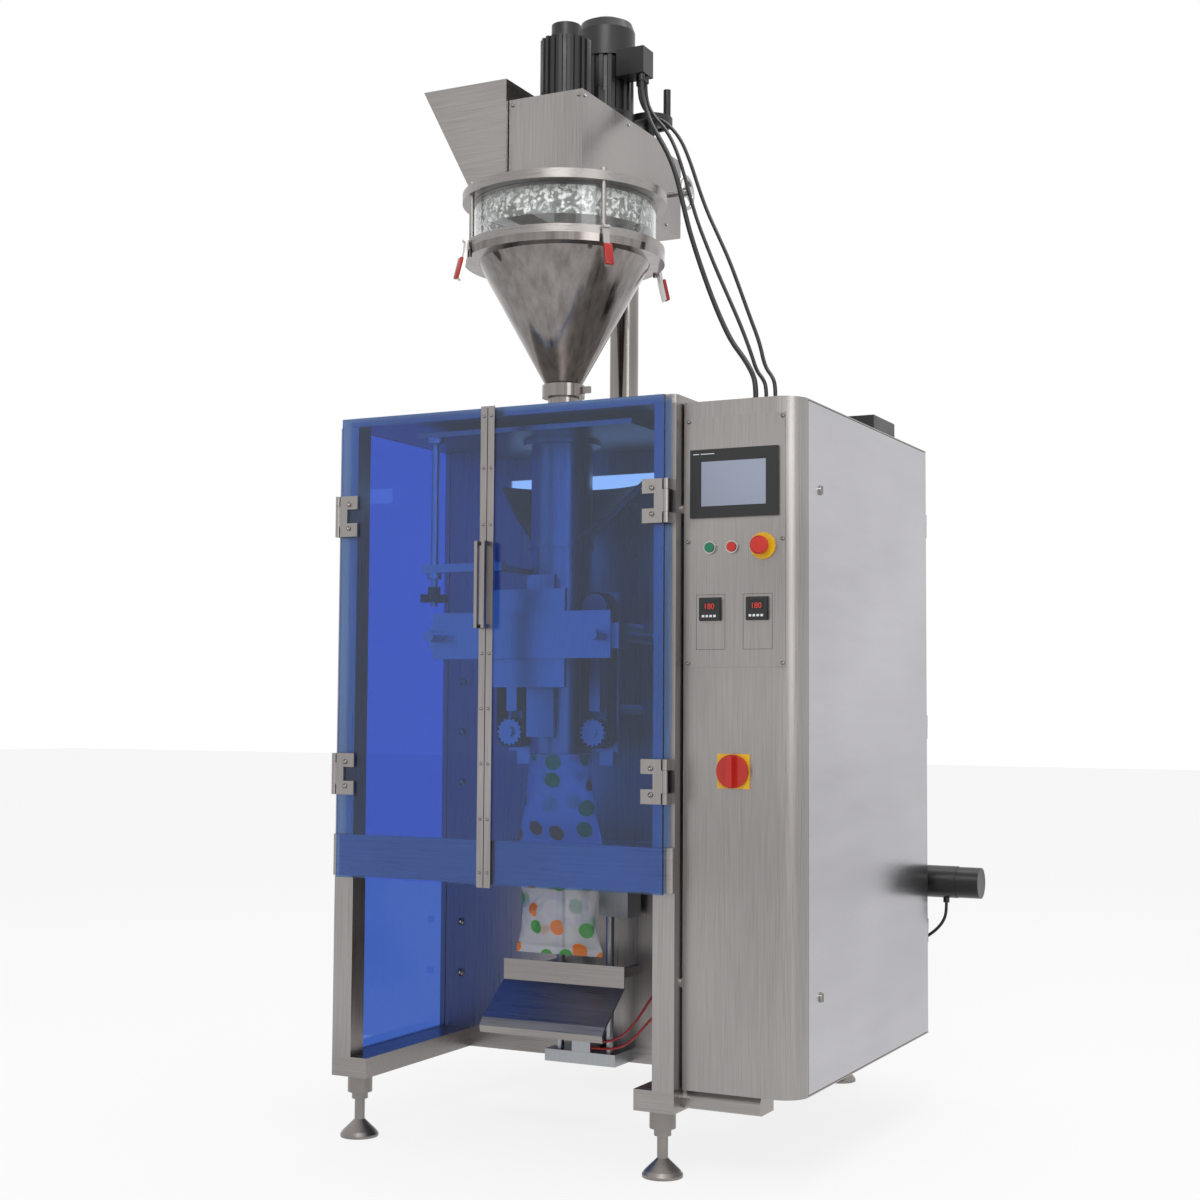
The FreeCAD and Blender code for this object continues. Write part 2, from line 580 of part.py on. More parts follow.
def build_drive():
    x = S.axisx
    y = S.axisy
    x0 = x - S.casewide / 2
    x1 = x + S.casewide / 2
    base = S.lidtop
    case = box("Case", x0, x1, y - S.casefront, S.caseback, base, S.casetop)
    block = box("LiftBlock", x0 + 12, x1, S.caseback, S.caseback + S.blockdeep, base,
                S.blocktop)
    bore = rod("ColumnBore", "z", x, S.columny, base, S.columnrad + S.columnroom,
               S.casetop - base - 6)
    hub = rod("AugerBore", "z", x, y, base, S.shaftrad + 18, 90)
    crankpost = rod("CrankBore", "z", S.crankx, S.cranky, S.casetop - 40, 8.05, 40)
    wheelbore = rod("WheelBore", "x", x1 - 30, 599, 2350, 8.05, 30)
    solid = fuse("CaseSolid", [case, block])
    cuts = fuse("CaseBores", [bore, hub, crankpost, wheelbore])
    node("gearbox_case", [cut("CaseBody", solid, cuts)])
    node("column", [rod("ColumnTube", "z", x, S.columny, S.platetop, S.columnrad,
                        S.casetop - 20 - S.platetop),
                    ring("ColumnFlange", "z", x, S.columny, S.platetop, 62, S.columnrad, 14)],
         join=True)
    # ribbed servo motor on the auger and the fan-cooled stirring motor
    ribs = []
    for i in range(20):
        for offset, radius in ((-7.6, S.motorrad - 5), (-6.4, S.motorrad), (1.4, S.motorrad),
                               (2.6, S.motorrad - 5)):
            px, py = polar(radius, 18 * i + offset)
            ribs.append((px, py))
    t = S.casetop
    body1 = prism("AugerMotorRibs", "z", ribs, t + 8, S.motorhigh - 8, at=(x, y))
    foot1 = box("AugerMotorFoot", x - 60, x + 60, y - 60, y + 60, t, t + 8)
    cap1 = rod("AugerMotorCap", "z", x, y, t + S.motorhigh, 36, 40)
    side = box("MotorBracket", x + 52, x + 64, y + 52, y + 88, t, t + 60)
    fins = []
    for i in range(20):
        for offset, radius in ((-7.6, 66), (-6.4, 71), (1.4, 71), (2.6, 66)):
            fins.append(polar(radius, 18 * i + offset))
    sy = S.stirry
    body2 = prism("StirMotorRibs", "z", fins, t + 44, 140, at=(x, sy))
    foot2 = rod("StirMotorFlange", "z", x, sy, t, 73, 44)
    dome = turned("StirMotorFan", [(0, 184), (S.fanrad, 184), (S.fanrad, 258), (66, 280),
                                   (40, 292), (0, 296)], x, sy, t)
    tbox = box("TerminalBox", x + 62, x + 138, sy - 68, sy - 10, t + 118, t + 186)
    gland = [rod("Gland%d" % i, "z", x + a, sy + b, t + 100, 8, 18)
             for i, (a, b) in enumerate(((128, -56), (128, -32), (106, -24)))]
    node("drive_motors", [fuse("AugerMotor", [body1, foot1, cap1, side]),
                          fuse("StirMotor", [body2, foot2, dome, tbox] + gland)])


def build_auger():
    x = S.axisx
    y = S.axisy
    top = S.lidtop + 60
    shaft = rod("AugerShaft", "z", x, y, S.spoutfoot + 6, S.shaftrad, top - S.spoutfoot - 6)
    flight = doc.addObject("PartDesign::Body", "Flight")
    rise = S.augerpitch * 7
    sketch = outline(flight, "FlightOutline", [(S.shaftrad - 2, 0), (S.augerrad, 1),
                                               (S.augerrad, 4), (S.shaftrad - 2, 6)])
    spiral = flight.newObject("PartDesign::AdditiveHelix", "FlightHelix")
    spiral.Profile = sketch
    spiral.ReferenceAxis = (sketch, ["V_Axis"])
    spiral.Mode = 0
    bind(spiral, "Pitch", S.augerpitch)
    bind(spiral, "Height", rise)
    flight.Tip = spiral
    locate(flight, x, y, S.spoutfoot + 10, TURN["y"])
    node("auger", [fuse("AugerScrew", [shaft, flight])])
    # stirrer: a hub round the auger shaft with two scraper blades along the cone
    hubr = S.shaftrad + 0.4
    hub = ring("StirHub", "z", x, y, S.ringtop - 64, hubr + 12, hubr,
               S.lidtop + 50 - S.ringtop + 64)
    slope = (S.conerad - S.neckrad) / (S.ringtop - 2 * S.ringthick - S.conefoot)
    zb = S.conefoot + 60
    zt = S.ringtop - 50
    rb = S.neckrad + slope * (zb - S.conefoot) - 16
    rt = S.neckrad + slope * (zt - S.conefoot) - 16
    blades = []
    for way in (1, -1):
        points = [(way * rb, zb), (way * (rb - 10), zb), (way * (rt - 10), zt),
                  (way * rt, zt)]
        if way < 0:
            points = points[::-1]
        blades.append(prism("Blade%d" % (way + 1), "y", points, -4, 8, at=(x, 0)))
        lo, hi = (hubr + 4, rt - 2) if way > 0 else (-(rt - 2), -(hubr + 4))
        blades.append(box("Arm%d" % (way + 1), x + lo, x + hi, -4, 4, zt - 12, zt))
    for piece in blades:
        piece.setExpression("Placement.Base.y", txt(S.axisy + (4 if "Blade" in piece.Name
                                                               else -4)))
    node("agitator", [fuse("Stirrer", [hub] + blades)])


def build_wheels():
    t = S.casetop
    crank = turned("CrankDisc", [(0, -38), (8, -38), (8, 14), (16, 30), (20, 46),
                                 (S.crankrad - 10, 54), (S.crankrad - 8, 48), (S.crankrad, 48),
                                 (S.crankrad, 66), (S.crankrad - 10, 66), (20, 62), (0, 62)],
                   S.crankx, S.cranky, t)
    knob = rod("CrankKnob", "z", S.crankx + S.crankrad - 10, S.cranky, t + 60, 9.5, 76)
    node("crank_wheel", [crank, knob], join=True)
    x1 = S.axisx + S.casewide / 2
    rim = doc.addObject("Part::Torus", "WheelRim")
    bind(rim, "Radius1", S.wheelrad - 5)
    rim.Radius2 = 5
    locate(rim, x1 + 62, 599, 2350, Rotation(Vector(0, 1, 0), 90))
    hub = rod("WheelShaft", "x", x1 - 26, 599, 2350, 8, 98)
    boss = rod("WheelBoss", "x", x1 + 56, 599, 2350, 13, 20)
    spokes = []
    for i in range(3):
        spoke = doc.addObject("Part::Box", "Spoke%d" % i)
        bind(spoke, "Length", S.wheelrad - 6)
        spoke.Width = 8
        spoke.Height = 6
        turn = Rotation(Vector(1, 0, 0), 120 * i).multiply(Rotation(Vector(0, 1, 0), -90))
        off = turn.multVec(Vector(0, -4, -3))
        locate(spoke, x1 + 62 + off.x, 599 + off.y, 2350 + off.z, turn)
        spokes.append(spoke)
    node("clamp_wheel", [fuse("ClampWheel", [hub, boss, rim] + spokes)])


# ------------------------------------------------- forming set, belts, sealers
def build_forming():
    x = S.axisx
    y = S.axisy
    plate = box("FormPlate", x - 285, x + 285, 30, S.backy, S.formz, S.formz + 12)
    hole = rod("FormHole", "z", x, y, S.formz, S.spoutrad + 14, 12)
    w = S.tubewall
    tube = turned("FormTube", [(S.tuberad - w, S.tubefoot), (S.tuberad, S.tubefoot),
                               (S.tuberad, S.tubetop), (S.tuberad + 20, S.tubetop),
                               (S.tuberad + 20, S.formz), (S.tuberad - w, S.formz)], x, y, 0)
    # shoulder over which the film folds from a flat web into a tube
    gap = S.filmair + 0.6
    low = S.tuberad + gap
    shoulder = turned("Shoulder", [(low, 0), (low + 3, 0), (low + 3, 30), (S.collarout, 165),
                                   (S.collarout, 169), (S.collarout - 4, 169), (low, 33)],
                      x, y, (S.formz - S.collardrop))
    wedge = prism("ShoulderCut", "x", [(-260, 20), (-40, 20), (60, 175), (-260, 175)],
                  x - 220, 440, at=(y, (S.formz - S.collardrop)))
    rise = cut("Collar", shoulder, wedge)
    stay = [box("CollarStay%d" % i, x + a, x + a + 12, y + 150, S.backy,
                (S.formz - S.collardrop) + 120, (S.formz - S.collardrop) + 132) for i, a in enumerate((-110, 98))]
    node("forming_set", [cut("FormPlateCut", plate, hole), tube,
                         fuse("CollarBody", [rise] + stay)])


def build_belts():
    x = S.axisx
    y = S.belty
    reach = S.tuberad + S.filmair + S.beltthick + S.pulleyrad
    frames = []
    belts = []
    for side, way in (("left", -1), ("right", 1)):
        cx = x + way * reach
        r0 = S.pulleyrad + 0.4
        band = []
        for label, rad in (("Out", r0 + S.beltthick - 0.4), ("In", r0)):
            flat = box("Band%s%s" % (label, side), cx - rad, cx + rad, y, y + S.beltdeep,
                       S.beltlow, S.beltup)
            low = rod("BandLow%s%s" % (label, side), "y", cx, y, S.beltlow, rad, S.beltdeep)
            top = rod("BandTop%s%s" % (label, side), "y", cx, y, S.beltup, rad, S.beltdeep)
            band.append(fuse("BandBody%s%s" % (label, side), [flat, low, top]))
        belts.append(cut("Belt" + side, band[0], band[1]))
        wheel = toothed("Pulley" + side, cx, y - 3, S.beltlow)
        axle = rod("Axle" + side, "y", cx, y - 3, S.beltlow, 9, S.beltdeep + 60)
        nut = rod("AxleNut" + side, "y", cx, y - 12, S.beltlow, 12, 9)
        node("pulley_" + side, [fuse("PulleyBody" + side, [wheel, axle, nut])])
        plate = box("BeltPlate" + side, cx - 36, cx + 36, y + S.beltdeep + 10,
                    y + S.beltdeep + 22, S.beltlow - 46, S.beltup + 40)
        eye = rod("BeltEye" + side, "y", cx, y + S.beltdeep + 10, S.beltlow, 9.05, 12)
        shoe = rod("BeltNose" + side, "y", cx, y + 2, S.beltup, S.pulleyrad - 0.3,
                   S.beltdeep + 8)
        pad = box("BeltShoe" + side, cx - 14, cx + 14, y + 6, y + S.beltdeep + 10,
                  S.beltlow + 50, S.beltup - 48)
        posts = [rod("BeltPost%s%d" % (side, z), "y", cx, y + S.beltdeep + 22, z, 12,
                     S.backy - y - S.beltdeep - 22) for z in (1010, 1210)]
        lug = box("BeltLug" + side, cx - 10, cx + 26, y + S.beltdeep + 4,
                  y + S.beltdeep + 10, S.beltlow - 78, S.beltlow - 40)
        link = box("BeltLink" + side, cx - 10, cx + 26, y + S.beltdeep + 10,
                   y + S.beltdeep + 22, S.beltlow - 78, S.beltlow - 40)
        frames.append(fuse("BeltFrame" + side, [cut("BeltPlateCut" + side, plate, eye), shoe,
                                                pad, lug, link] + posts))
    node("belt_frames", frames)
    node("transport_belts", belts)


def toothed(name, x, y, z):
    """A toothed belt pulley whose teeth are cut along its axis."""
    points = []
    teeth = 16
    step = 360.0 / teeth
    for i in range(teeth):
        for offset, drop in ((-0.27, 4), (-0.2, 0), (0.2, 0), (0.27, 4)):
            points.append(polar(S.pulleyrad - drop, step * (i + offset)))
    return prism(name, "y", points, y, S.beltdeep + 4, at=(x, z))


def build_sealers():
    x = S.axisx
    y0 = S.crossy
    cross = box("CrossPlate", x - S.crosshalf, x + S.crosshalf, y0, y0 + 12, 1126, 1234)
    parts = [cross]
    for side, a in (("Left", -250), ("Right", 178)):
        parts.append(box("RodBlock" + side, x + a, x + a + 72, y0 + 12, y0 + 62, 1148, 1206))
        parts.append(rod("RodFront" + side, "y", x + a + 36, y0 - 52, 1178, 13, 52))
        parts.append(rod("RodBack" + side, "y", x + a + 36, y0 + 62, 1178, 13,
                         S.backy - y0 - 62))
    for label, z0, z1 in (("Upper", 1221, 1287), ("Lower", 1060, 1126)):
        parts.append(box("GuidePlate" + label, x - 112, x + 112, y0 + 12, y0 + 24, z0, z1))
        for side, a in (("L", -96), ("R", 84)):
            parts.append(rod("GuidePin%s%s" % (label, side), "y", x + a, y0 + 24,
                             (z0 + z1) / 2, 6, 24))
    sx = x - 245
    stem = turned("AdjustingScrew", [(0, 1352), (9, 1352), (9, S.formz - 14), (24, S.formz - 14),
                                     (24, S.formz), (0, S.formz)], sx, 50, 0)
    tail = turned("ScrewTail", [(0, 1252), (8, 1252), (8, 1318), (17, 1318), (17, 1332),
                                (0, 1332)], sx, 50, 0)
    arm = box("ScrewArm", sx - 26, sx + 190, 38, 62, 1332, 1352)
    stay = box("ArmStay", sx + 150, sx + 170, 62, S.backy, 1336, 1348)
    node("sealer_crosshead", parts + [stem, tail, arm, stay])
    star = []
    for i in range(6):
        for offset, radius in ((-22, 24), (-12, 34), (12, 34), (22, 24)):
            star.append(polar(radius, 60 * i + offset))
    knob = prism("StarPlate", "z", star, 1262, 18, at=(sx, 50))
    boss = rod("StarBoss", "z", sx, 50, 1280, 15, 18)
    bore = rod("StarBore", "z", sx, 50, 1250, 8.05, 60)
    node("star_knob", [cut("StarKnob", fuse("StarBody", [knob, boss]), bore)])
    reach = S.axisy - S.tuberad - S.filmair - S.sealgap
    bar = box("HeatBar", x - 20, x + 25, reach - 34, reach, 945, 1325)
    tee = box("HeatBack", x - 20, x + 52, reach - 46, reach - 34, 945, 1325)
    runs = []
    for z in (1093, 1254):
        for side, a in (("L", -96), ("R", 84)):
            runs.append(ring("SlideEye%d%s" % (z, side), "y", x + a, y0 + 30, z, 12,
                             6 + S.slideroom, 16))
        runs.append(box("SlideTie%d" % z, x - 86, x + 74, y0 + 30, y0 + 46, z - 9, z + 9))
    link = box("SlideLink", x - 16, x + 20, y0 + 46, reach - 46, 1080, 1270)
    node("vertical_seal_bar", [fuse("SealBar", [bar, tee, link] + runs)])


def build_jaws():
    x = S.axisx
    y = S.axisy
    z = S.jawz
    rail = []
    for side, a in (("Left", -1), ("Right", 1)):
        rail.append(rod("JawRod" + side, "y", x + a * S.rodoff, 72, z, S.rodrad,
                        S.backy - 94))
    rail.append(box("JawFrontTie", x - S.rodoff - 25, x + S.rodoff + 25, 48, 72, z - 22, z + 22))
    rear = S.backy
    rail.append(box("JawBackTie", x - S.rodoff - 25, x + S.rodoff + 25, rear - 22, rear, z - 30,
                    z + 30))
    lift = [rod("LiftRod%d" % i, "z", x + a, 372, 178, 10, z - b - 178)
            for i, (a, b) in enumerate(((-68, 60), (68, 147)))]
    lift.append(box("LiftFoot", x - 96, x + 96, 345, rear, 149, 178))
    lift.append(box("LiftBlock2", x + 50, x + 128, 345, rear - 22, z - 147, z - 30))
    lift.append(box("LiftBlock1", x - 88, x - 48, 350, rear - 22, z - 60, z - 30))
    lift.append(box("AirManifold", x - 22, x + 28, 346, 400, 178, 214))
    for i, (px, pz) in enumerate(((252, 391), (280, 339))):
        lift.append(rod("AirPort%d" % i, "y", x + px, 428, pz, 7, rear - 428))
    lift.append(box("LiftBridge", x - 128, x + 128, 345, rear - 22, z - 30, z - 12))
    node("jaw_guide_frame", rail + lift)
    gap = S.filmthick / 2 + 0.5 + S.jawopen
    for label, way in (("front", -1), ("rear", 1)):
        face = y + way * gap
        back = face + way * S.jawdeep
        a, b = (back, face) if way < 0 else (face, back)
        bar = box("JawBar" + label, x - S.jawhalf, x + S.jawhalf, a, b, z - S.jawhigh / 2,
                  z + S.jawhigh / 2)
        parts = [bar]
        c, d = (a, a + 22) if way < 0 else (b - 22, b)
        parts.append(box("JawYoke" + label, x - S.rodoff - 28, x + S.rodoff + 28, c, d,
                         z - 24, z + 24))
        bores = [rod("JawBore%s%d" % (label, s), "y", x + s * S.rodoff, c - 1, z,
                     S.rodrad + S.slideroom, 24) for s in (-1, 1)]
        node("jaw_" + label, [cut("Jaw" + label, fuse("JawSolid" + label, parts),
                                  fuse("JawBores" + label, bores))])


def build_film():
    """Film tube below the forming tube, the flat web in the jaws and the bag."""
    x = S.axisx
    y = S.axisy
    rows = [(S.tubefoot - 0.4, S.tuberad * 2, S.tuberad * 2), (820, 176, 118),
            (760, 206, 62), (S.jawz + 50, S.bagwide, S.filmthick),
            (S.jawz - 55, S.bagwide, S.filmthick), (560, 210, 34), (490, 190, 58),
            (450, 196, 36), (S.bagfoot, 204, 4)]
    body = doc.addObject("PartDesign::Body", "FilmBody")
    sections = []
    for i, (z, wide, deep) in enumerate(rows):
        corner = deep * (0.35 if num(deep) < 100 else 0.29)
        w = wide / 2
        d = deep / 2
        c = corner
        e = corner
        points = [(-w, -(d - c)), (-(w - e), -d), (w - e, -d), (w, -(d - c)),
                  (w, d - c), (w - e, d), (-(w - e), d), (-w, d - c)]
        sketch = outline(body, "FilmSection%d" % i, points)
        bind(sketch, "AttachmentOffset.Base.z", z)
        sections.append(sketch)
    loft = body.newObject("PartDesign::AdditiveLoft", "FilmLoft")
    loft.Profile = sections[0]
    loft.Sections = sections[1:]
    loft.Ruled = True
    body.Tip = loft
    locate(body, x, y, 0)
    node("film_and_bag", [body])


def build_tray():
    x = S.axisx
    y = S.trayy
    z = S.trayz
    t = 2.5
    side = [(y, z), (y + t, z), (y + t, z - 52), (y - 96, z - 130), (y - 108, z - 146),
            (y - 104, z - 160), (y - 112, z - 160), (y - 115, z - 144), (y - 101, z - 126),
            (y, z - 50)]
    sheetx = prism("TraySheet", "x", side, x - S.trayhalf, S.trayhalf * 2)
    stays = []
    for i, a in enumerate((-120, 100)):
        stays.append(box("TrayStay%d" % i, x + a, x + a + 20, y + t, S.backy, z - 40, z - 20))
    node("discharge_chute", [fuse("Tray", [sheetx] + stays)])


def build_stand():
    left = S.frameleft
    right = S.frameright
    y = S.rolly
    parts = []
    for label, x in (("Left", left), ("Right", right - 12)):
        parts.append(box("StandCheek" + label, x, x + 12, S.roofback + 60, S.rearend,
                         S.railtop, 760))
    for i, (yy, zz) in enumerate(((800, 720), (1150, 720), (800, 260))):
        parts.append(rod("GuideRoller%d" % i, "x", left + 12, yy, zz, 20,
                         right - left - 24))
    bores = [rod("RollBore%d" % i, "x", x, y, S.rollz, 16.05, 12)
             for i, x in enumerate((left, right - 12))]
    parts.append(box("MotorArm", right, 40, S.feedmotory - 50, S.feedmotory + 50,
                     S.feedmotorz - 50, S.feedmotorz + 50))
    node("film_stand", [cut("Stand", fuse("StandBody", parts), fuse("StandBores", bores))])
    core = rod("RollShaft", "x", left - 8, y, S.rollz, 16, right - left + 7.6)
    film = rod("FilmRoll", "x", S.axisx - S.rollhalf, y, S.rollz, S.rollrad, S.rollhalf * 2)
    node("film_roll", [fuse("RollBody", [core, film])])
    head = box("GearHead", 40, 130, S.feedmotory - 45, S.feedmotory + 45,
               S.feedmotorz - 45, S.feedmotorz + 45)
    stator = rod("FeedStator", "x", 130, S.feedmotory, S.feedmotorz, S.feedmotorrad,
                 S.feedmotorend - 190)
    cap = rod("FeedCap", "x", S.feedmotorend - 60, S.feedmotory, S.feedmotorz,
              S.feedmotorrad - 1.5, 60)
    exitg = rod("FeedGland", "z", S.feedmotorend - 92, S.feedmotory, S.feedmotorz - S.feedmotorrad - 12, 8, 30)
    node("film_motor", [fuse("FeedMotor", [head, stator, cap, exitg])])


# --------------------------------------------------------------------- cords
def tube_path(name, points, radius):
    """Straight runs joined by tangent arcs, swept with a round section."""
    pts = [Vector(*p) for p in points]
    for i in range(1, len(pts) - 1):
        pts[i] = Vector(pts[i].x, pts[i].y, pts[i].z)
    edges = []
    here = pts[0]
    length = 0.0
    radii = []
    for i in range(1, len(pts) - 1):
        a = pts[i - 1].sub(pts[i])
        b = pts[i + 1].sub(pts[i])
        short = min(a.Length, b.Length)
        ua = Vector(a).normalize()
        ub = Vector(b).normalize()
        turn = math.pi - ua.getAngle(ub)
        trim = 0.45 * short
        radii.append(trim / math.tan(turn / 2))
        start = pts[i].add(ua * trim)
        stop = pts[i].add(ub * trim)
        centre_way = ua.add(ub).normalize()
        centre = pts[i].add(centre_way * (radii[-1] / math.cos(turn / 2)))
        mid = centre.sub(centre_way * radii[-1])
        edges.append(Part.LineSegment(here, start).toShape())
        length += here.distanceToPoint(start)
        arc = Part.Arc(start, mid, stop).toShape()
        edges.append(arc)
        length += arc.Length
        here = stop
    edges.append(Part.LineSegment(here, pts[-1]).toShape())
    length += here.distanceToPoint(pts[-1])
    wire = Part.Wire(edges)
    first = pts[1].sub(pts[0]).normalize()
    ring_edge = Part.Circle(pts[0], first, radius).toShape()
    pipe = wire.makePipeShell([Part.Wire([ring_edge])], True, False)
    obj = doc.addObject("Part::Feature", name)
    obj.Shape = pipe
    ideal = math.pi * radius * radius * length
    print("%s length %.1f radii %s volume ratio %.4f"
          % (name, length, " ".join("%.0f" % r for r in radii), pipe.Volume / ideal))
    return obj


def build_cords():
    for name, points, radius in CORDS:
        node(name, [tube_path("Tube_" + name, points, radius)])


# Routes of the cables and hoses: name, points from the datum, radius.
CORDS = [
    ("cable_main", [(-300, 400, 2586.7), (-300, 400, 2560), (-288, 391, 2522),
                    (-264, 374, 2470), (-230, 350, 2420), (-190, 323, 2362),
                    (-158, 301, 2298), (-134, 284, 2226), (-112, 269, 2160),
                    (-84, 249, 2094), (-54, 229, 2028), (-22, 206, 1964), (11, 183, 1904),
                    (46, 159, 1848), (90, 128.5, 1800), (118, 109, 1760.5),
                    (128, 102, 1732), (128, 102, 1704.3)], 6),
    ("cable_signal", [(-300, 424, 2586.7), (-300, 424, 2562), (-288, 415, 2524),
                      (-260, 395, 2484), (-216, 364, 2440), (-178, 337, 2382),
                      (-148, 316, 2316), (-122, 298, 2246), (-94, 279, 2176),
                      (-58, 253, 2106), (-20, 227, 2034), (22, 199, 1960),
                      (64, 170, 1886), (98, 148, 1816), (116, 136, 1772),
                      (140, 120.5, 1747), (148, 115, 1725), (148, 115, 1704.3)], 4.5),
    ("cable_stirrer", [(-322, 432, 2586.7), (-322, 432, 2562), (-310, 433, 2527),
                       (-278, 418, 2496), (-226, 390, 2466), (-174, 359, 2410),
                       (-138, 338, 2340), (-108, 319, 2268), (-76, 298, 2200),
                       (-36, 270, 2132), (4, 243, 2062), (40, 218, 1988), (76, 193, 1912),
                       (112, 165, 1842), (132, 146, 1782), (160, 127, 1751), (170, 114, 1726),
                       (170, 114, 1704.3)], 4.5),
    ("cable_film_motor", [(296, 1010, 516.7), (296, 1010, 492), (288, 1010, 468),
                          (270, 1010, 446), (247, 1010, 428), (220, 1010, 413),
                          (193, 1010, 402), (167.6, 1010, 394), (144.4, 996.6, 388),
                          (131, 973.4, 385), (131, 946.3, 385)], 4),
    ("air_hose_upper", [(-399.7, 352, 205), (-372, 351, 205), (-340, 345, 212),
                        (-305, 337, 230), (-272, 332, 262), (-247, 334, 300),
                        (-226, 343, 336), (-203, 362, 366), (-184, 386, 384),
                        (-176, 408, 391), (-176, 427.7, 391)], 3),
    ("air_hose_lower", [(-399.7, 352, 189), (-372, 351, 189), (-336, 345, 193),
                        (-300, 338, 206), (-266, 333, 234), (-238, 336, 268),
                        (-210, 346, 297), (-180, 365, 319), (-158, 389, 333),
                        (-148, 409, 339), (-148, 427.7, 339)], 3),
]


build_frame()
build_feet()
build_cabinet()
build_controls()
build_doors()
build_hopper()
build_drive()
build_auger()
build_wheels()
build_forming()
build_belts()
build_sealers()
build_jaws()
build_film()
build_tray()
build_stand()
build_cords()

doc.recompute()

problems = []
for obj in doc.Objects:
    if "Invalid" in obj.State or "Error" in obj.State:
        problems.append("%s %s" % (obj.Name, obj.State))
for obj in NODES:
    if obj.Shape.isNull() or not obj.Shape.isValid() or not obj.Shape.Solids:
        problems.append("%s has no valid shape" % obj.Label)
if problems:
    raise RuntimeError("; ".join(problems))

os.makedirs("parts", exist_ok=True)
whole = FreeCAD.BoundBox()
for obj in NODES:
    obj.Shape.exportStep("parts/%s.step" % obj.Label)
    whole.add(obj.Shape.BoundBox)
print("nodes", len(NODES), "box", whole)
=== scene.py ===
import json
import math

import bmesh
import bpy
from mathutils import Matrix, Vector, noise

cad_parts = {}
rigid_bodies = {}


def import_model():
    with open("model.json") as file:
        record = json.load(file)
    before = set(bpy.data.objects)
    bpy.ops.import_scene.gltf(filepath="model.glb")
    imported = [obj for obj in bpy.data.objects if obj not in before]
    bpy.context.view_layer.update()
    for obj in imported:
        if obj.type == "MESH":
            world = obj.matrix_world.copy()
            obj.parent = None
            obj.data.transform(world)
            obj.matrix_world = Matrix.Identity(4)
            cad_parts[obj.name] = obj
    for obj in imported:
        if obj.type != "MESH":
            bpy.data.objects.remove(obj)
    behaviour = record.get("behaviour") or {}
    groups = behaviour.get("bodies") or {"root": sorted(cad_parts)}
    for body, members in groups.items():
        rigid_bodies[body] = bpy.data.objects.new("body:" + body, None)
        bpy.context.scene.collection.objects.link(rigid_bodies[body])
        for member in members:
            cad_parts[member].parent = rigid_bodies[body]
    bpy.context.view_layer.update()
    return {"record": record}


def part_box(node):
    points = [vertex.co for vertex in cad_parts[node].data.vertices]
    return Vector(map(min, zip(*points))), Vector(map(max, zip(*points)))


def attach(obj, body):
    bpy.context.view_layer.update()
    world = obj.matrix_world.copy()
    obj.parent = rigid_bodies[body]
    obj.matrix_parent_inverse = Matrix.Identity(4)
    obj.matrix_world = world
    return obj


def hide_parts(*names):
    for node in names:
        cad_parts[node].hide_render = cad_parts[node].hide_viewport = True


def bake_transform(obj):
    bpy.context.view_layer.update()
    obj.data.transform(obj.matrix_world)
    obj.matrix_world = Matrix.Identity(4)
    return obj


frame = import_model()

# Every size below is in millimetres, measured from the cabinet's left front edge at the floor.
plate_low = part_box("top_plate")[0]
HOME = Vector((plate_low.x + 0.890, plate_low.y + 0.034, 0.0))


def at(x, y, z):
    return HOME + Vector((x, y, z)) / 1000


def span(node):
    """A CAD node's lowest and highest corner, in millimetres from the same place."""
    low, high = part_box(node)
    return (low - HOME) * 1000, (high - HOME) * 1000


# ------------------------------------------------------------------ modelling
def deselect():
    if bpy.context.object and bpy.context.object.mode != "OBJECT":
        bpy.ops.object.mode_set(mode="OBJECT")
    bpy.ops.object.select_all(action="DESELECT")


def settle(name):
    """Name the new piece and put its place and size into its mesh."""
    piece = bpy.context.object
    piece.name = name
    piece.data.name = name
    bpy.ops.object.transform_apply(location=True, rotation=True, scale=True)
    return piece


def only(piece):
    deselect()
    piece.select_set(True)
    bpy.context.view_layer.objects.active = piece


def round_edges(piece, millimetres, steps=2, sharp=50):
    """Break the piece's sharp edges, as a moulded or filed edge is."""
    only(piece)
    bpy.ops.object.mode_set(mode="EDIT")
    bpy.context.tool_settings.mesh_select_mode = (False, True, False)
    bpy.ops.mesh.select_all(action="DESELECT")
    bpy.ops.mesh.edges_select_sharp(sharpness=math.radians(sharp))
    bpy.ops.mesh.bevel(offset=millimetres / 1000, segments=steps, affect="EDGES")
    bpy.ops.object.mode_set(mode="OBJECT")
    bpy.ops.object.shade_smooth_by_angle(angle=math.radians(40))
    return piece


def block(name, x0, x1, y0, y1, z0, z1, edge=0.6):
    deselect()
    bpy.ops.mesh.primitive_cube_add(size=1, location=at((x0 + x1) / 2, (y0 + y1) / 2,
                                                        (z0 + z1) / 2))
    bpy.context.object.scale = ((x1 - x0) / 1000, (y1 - y0) / 1000, (z1 - z0) / 1000)
    piece = settle(name)
    return round_edges(piece, edge) if edge else piece


QUARTER = math.pi / 2
TURNS = {"x": (0, QUARTER, 0), "y": (QUARTER, 0, 0), "z": (0, 0, 0)}


def barrel(name, axis, x, y, z, radius, long, edge=0.5, sides=32):
    """A round piece whose middle is at the point, along the named axis."""
    deselect()
    bpy.ops.mesh.primitive_cylinder_add(vertices=sides, radius=radius / 1000, depth=long / 1000,
                                        location=at(x, y, z), rotation=TURNS[axis])
    piece = settle(name)
    return round_edges(piece, edge) if edge else piece


